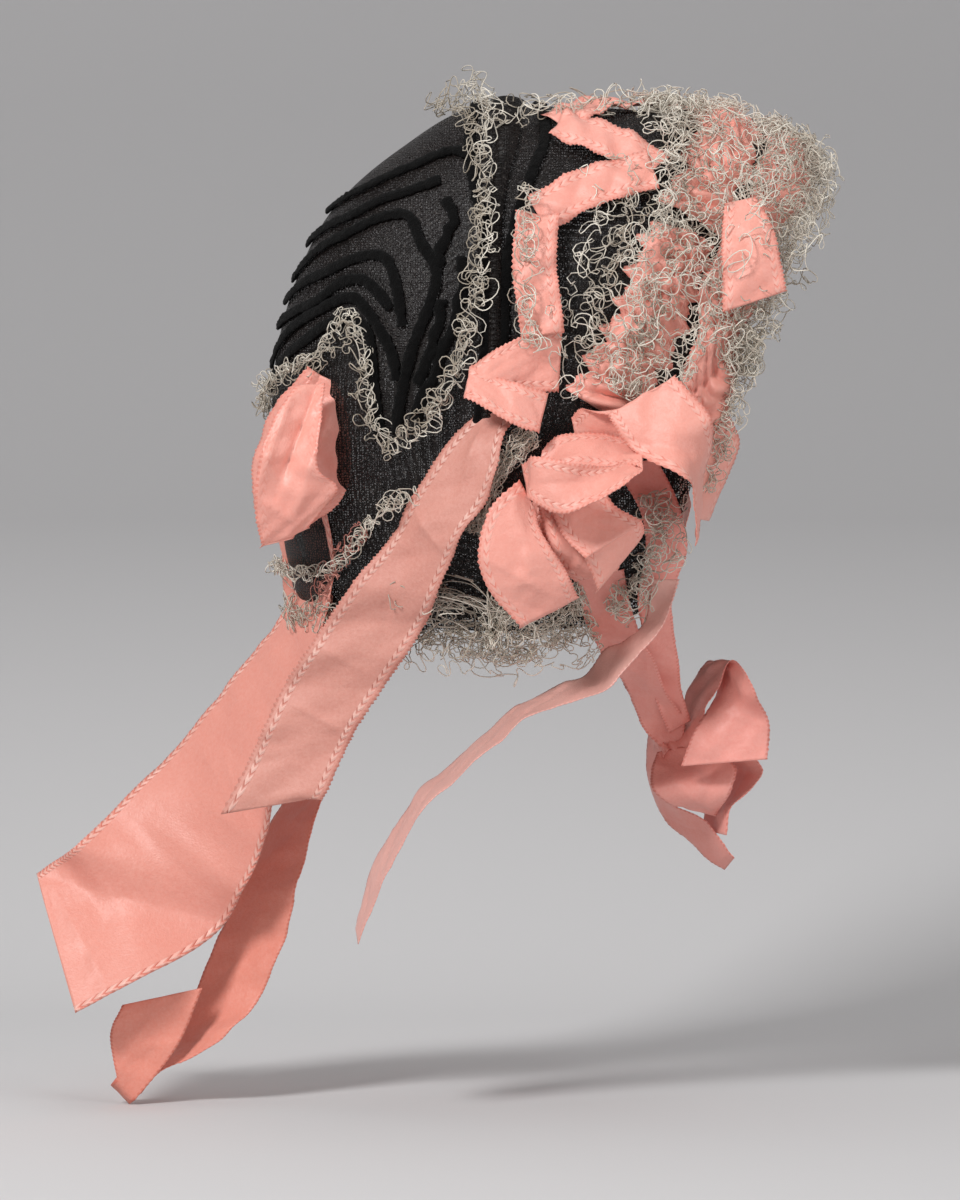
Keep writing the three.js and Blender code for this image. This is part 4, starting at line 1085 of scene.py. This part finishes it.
# Thin strays that leave the rows: along the crest, beside the zigzag, and down the front opening's edge
crestStrays = {
    "places": [[-76, 24], [-30, 12], [30, 6], [90, 8], [140, 16]],
    "width": 0.026, "height": 0.011, "base": 0.0030, "strands": 4, "loop": 1.4,
    "shape": [2.2, 0.3, 1.2, 0.2, 0.9, 0.3, 0.7, 0.4],
}
templeStrays = {
    "places": [[40, 60], [66, 110], [44, 150], [30, 190], [22, 235], [40, 270]],
    "width": 0.030, "height": 0.004, "base": 0.0020, "strands": 5, "loop": 1.6,
}
loopStrays = {
    "places": [[-36, 90], [-34, 150], [-36, 200], [-24, 240]],
    "width": 0.012, "height": 0.003, "base": 0.0100, "strands": 3, "loop": 1.5,
}
faceStrays = {
    "places": [[130, 372], [146, 330], [160, 285], [168, 245], [174, 215]],
    "width": 0.014, "height": 0.006, "base": 0.0050, "strands": 6, "loop": 1.2,
    "shape": [0.6, 1], "spread": [0.7, 1],
}


def tubes(paths, radius, sides):
    # paths: threads by points by 3
    ahead = unit(np.gradient(paths, axis=1))
    helper = np.broadcast_to(np.array([0.31, 0.87, 0.38]), ahead.shape)
    one = unit(np.cross(ahead, helper))
    two = np.cross(ahead, one)
    turn = np.arange(sides) * 2 * math.pi / sides
    ring = one[:, :, None] * np.cos(turn)[None, None, :, None] + two[:, :, None] * np.sin(turn)[None, None, :, None]
    points = paths[:, :, None] + ring * radius
    threads, steps = paths.shape[:2]
    t, i, k = np.meshgrid(np.arange(threads), np.arange(steps - 1), np.arange(sides), indexing="ij")
    base = (t * steps + i) * sides
    a, b = (base + k).ravel(), (base + (k + 1) % sides).ravel()
    faces = np.stack([a, b, b + sides, a + sides], axis=1)
    start = (np.arange(threads) * steps * sides)[:, None]
    order = np.arange(sides)[None, :]
    lids = [start + order[:, ::-1], start + (steps - 1) * sides + order]
    own = np.broadcast_to(np.random.default_rng(threads).uniform(0, 1, (threads, 1, 1)), points.shape[:3])
    uv = np.stack([own.ravel(), np.zeros(own.size)], axis=1)
    return points.reshape(-1, 3), faces.tolist() + np.concatenate(lids).tolist(), uv


def frizzPaths(row, route, seed, bothSides):
    rng = np.random.default_rng(seed)
    line, across, along = capFrames(route, 0.002)
    normal = outward(line)
    length, strands = along[-1], row["strands"]
    count = int(length * threadSize["crimp"] / threadSize["step"])
    s = np.linspace(0, length, count)

    def drift(size, reach):
        # slow change along each thread, reach in points
        knots = rng.normal(size=(count // reach + 4, strands))
        return size * smoothThrough(np.linspace(0, count, len(knots)), knots, np.arange(count)).T

    heading, climb = drift(2.5, 6), drift(0.9, 6)
    steps = np.stack([np.cos(heading) * np.cos(climb), np.sin(heading) * np.cos(climb), np.sin(climb)], axis=-1)
    walk = np.cumsum(steps * threadSize["step"] * row["loop"] * 1.9, axis=1)
    window = threadSize["window"]
    padded = np.pad(walk, ((0, 0), (window // 2, window // 2), (0, 0)), mode="edge")
    total = np.cumsum(np.pad(padded, ((0, 0), (1, 0), (0, 0))), axis=1)
    walk -= (total[:, window:] - total[:, :-window]) / window  # keeps the loops and drops the way between them

    lane = np.clip(rng.normal(0, 0.27, (strands, 1)), -0.5, 0.5)
    level = rng.uniform(0, 1, (strands, 1)) ** 1.3
    half = 1 - np.abs(s / length * 2 - 1) if bothSides else s / length
    shape, spread = (np.interp(half, np.linspace(0, 1, len(values)), values)
                     for values in (row.get("shape", even), row.get("spread", even)))
    sideways = (lane * row["width"] + drift(row["width"] * 0.10, 24)) * spread + row.get("shift", 0) + walk[..., 1]
    rise = row["base"] + row["height"] * shape * np.clip(level + drift(0.26, 16), 0, 1.1) + walk[..., 2]
    rise = np.maximum(row["base"] * 0.7, rise)
    place = np.clip(s + drift(0.0020, 14) + walk[..., 0], 0, length)
    base, lean, up = (np.stack([np.interp(place, along, v[:, k]) for k in range(3)], axis=-1)
                      for v in (line, across, normal))
    return onCap(base + lean * sideways[..., None]) + up * rise[..., None]


def frizzPiece(name, bundles, seed, material=thread, node=None):
    points, faces, uv, start = [], [], [], 0
    for row, route in bundles:
        bothSides = route[0][1] * route[-1][1] < 0
        tubePoints, tubeFaces, own = tubes(frizzPaths(row, route, seed + start, bothSides),
                                           threadSize["radius"], threadSize["sides"])
        points.append(tubePoints)
        faces += [[corner + start for corner in face] for face in tubeFaces]
        uv.append(own)
        start += len(tubePoints)
    piece = addMesh(name + "_threads", np.concatenate(points), faces, material, np.concatenate(uv))
    settlePiece(piece, "thread", *([node] if node else []))
    print(name, len(faces), "faces")


for seed, (name, row) in enumerate(frizzRows.items(), 1):
    bundles = [(row, overRoute(row["places"]))]
    if name == "front_frizz":
        bundles += [(faceStrays, sideRoute(faceStrays["places"], side)) for side in (right, left)]
    if name == "temple_frizz":
        bundles += [(templeStrays, sideRoute(templeStrays["places"], side)) for side in (right, left)]
        bundles += [(loopStrays, sideRoute(loopStrays["places"], right))]
    if name == "crown_edge_frizz":
        bundles += [(crestStrays, sideRoute(crestStrays["places"], side)) for side in (right, left)]
    frizzPiece(name, bundles, seed, node=name)
for seed, (sideName, side) in enumerate((("right", right), ("left", left)), 11):
    frizzPiece(sideName + "_cheek_frizz", [(cheekFrizz, sideRoute(cheekFrizz["places"], side))], seed,
               node=sideName + "_cheek_frizz")

# A bunch of raw threads behind the right bow, and a few pink ones low on the back
rawThreads = {
    "places": [[-28, 316], [-56, 340], [-76, 372], [-86, 412]],
    "width": 0.012, "height": 0.010, "base": 0.0040, "strands": 26, "loop": 0.4, "shape": [0.6, 1, 0.5],
}
pinkStrays = {
    "places": [[-190, 410], [-212, 440], [-232, 470], [-226, 500]],
    "width": 0.010, "height": 0.004, "base": 0.0020, "strands": 4, "loop": 0.8,
}
frizzPiece("raw_thread_bunch", [(rawThreads, sideRoute(rawThreads["places"], right))], 21)
frizzPiece("pink_thread_strays", [(pinkStrays, sideRoute(pinkStrays["places"], right))], 22, pinkThread)
print("threads made")

# Floor, light and camera
# the paper's floor colour (low) and the darker colour up the wall (high), which is painted shade
stage = {
    "floor": -0.4768, "near": -3.2, "far": 0.35, "wide": 6.0, "cove": 0.5, "height": 5.0,
    "shadeHeight": 0.25, "low": (0.66, 0.652, 0.656), "high": (0.375, 0.369, 0.373),
}


def stageSweep():
    turns = np.linspace(0, math.pi / 2, 17)
    profile = [(stage["near"], stage["floor"])]
    profile += [(stage["far"] + stage["cove"] * math.sin(t), stage["floor"] + stage["cove"] * (1 - math.cos(t)))
                for t in turns]
    profile += [(stage["far"] + stage["cove"], stage["floor"] + stage["height"])]
    grid = np.array([[[x, y, z] for x in (-stage["wide"], stage["wide"])] for y, z in profile])
    material, tree, shader = newMaterial("palePaper", stage["low"], 0.9)
    # painted shade: the paper turns from the pale floor colour to the darker colour up the wall, as the upper sweep
    # gets less light
    rise = mathNode(tree, "SUBTRACT", splitAxes(tree, "Object")[2], stage["floor"])
    rise = times(tree, rise, 1 / stage["shadeHeight"])
    share = mathNode(tree, "MINIMUM", mathNode(tree, "MAXIMUM", rise, 0.0), 1.0)
    tree.links.new(mixColor(tree, share, stage["low"], stage["high"]), shader.inputs["Base Color"])
    shader.inputs["Specular IOR Level"].default_value = 0.1
    output = next(node for node in tree.nodes if node.type == "OUTPUT_MATERIAL")
    seenFromBehind = tree.nodes.new("ShaderNodeMixShader")  # the paper's back lets the other views through
    tree.links.new(tree.nodes.new("ShaderNodeNewGeometry").outputs["Backfacing"], seenFromBehind.inputs[0])
    tree.links.new(shader.outputs[0], seenFromBehind.inputs[1])
    tree.links.new(tree.nodes.new("ShaderNodeBsdfTransparent").outputs[0], seenFromBehind.inputs[2])
    tree.links.new(seenFromBehind.outputs[0], output.inputs["Surface"])
    sweep = addMesh("studio_sweep", grid.reshape(-1, 3), gridFaces(len(profile), 2), material)


lights = {
    "key": {"place": (-1.3, -1.7, 1.3), "target": (0, 0, -0.2), "size": 0.55, "energy": 46},
    "fill": {"place": (1.8, -1.6, 0.5), "target": (0, 0, -0.25), "size": 1.6, "energy": 17},
    "top": {"place": (0.1, 0.1, 2.0), "target": (0, 0, -0.2), "size": 1.8, "energy": 10},
}
worldLight = 0.27


def areaLight(name, place, target, size, energy):
    light = bpy.data.lights.new(name, "AREA")
    light.shape = "RECTANGLE"
    light.size = light.size_y = size
    light.energy = energy
    lamp = bpy.data.objects.new(name, light)
    bpy.context.scene.collection.objects.link(lamp)
    lamp.location = place
    direction = np.array(target) - np.array(place)
    pitch = math.atan2(math.hypot(direction[0], direction[1]), -direction[2])
    lamp.rotation_euler = (pitch, 0, math.atan2(direction[1], direction[0]) - math.pi / 2)


stageSweep()
for name, light in lights.items():
    areaLight(name, **light)
world = bpy.context.scene.world or bpy.data.worlds.new("studio")
bpy.context.scene.world = world
world.use_nodes = True
setInputs(world.node_tree.nodes["Background"], {"Color": (1, 1, 1, 1), "Strength": worldLight})
bpy.context.scene.view_settings.view_transform = "Standard"

view = {"target": (-0.0384, 0.0, -0.2352), "distance": 3.0, "elevation": 3.0, "lens": 187.5}
camera = bpy.data.objects.new("camera", bpy.data.cameras.new("camera"))
bpy.context.scene.collection.objects.link(camera)
camera.data.lens = view["lens"]
camera.data.sensor_width = 36
camera.data.clip_end = 50
rise = math.radians(view["elevation"])
camera.location = (view["target"][0], -view["distance"] * math.cos(rise),
                   view["target"][2] + view["distance"] * math.sin(rise))
camera.rotation_euler = (math.pi / 2 - rise, 0, 0)
bpy.context.scene.camera = camera
print("stage, lights and camera set")
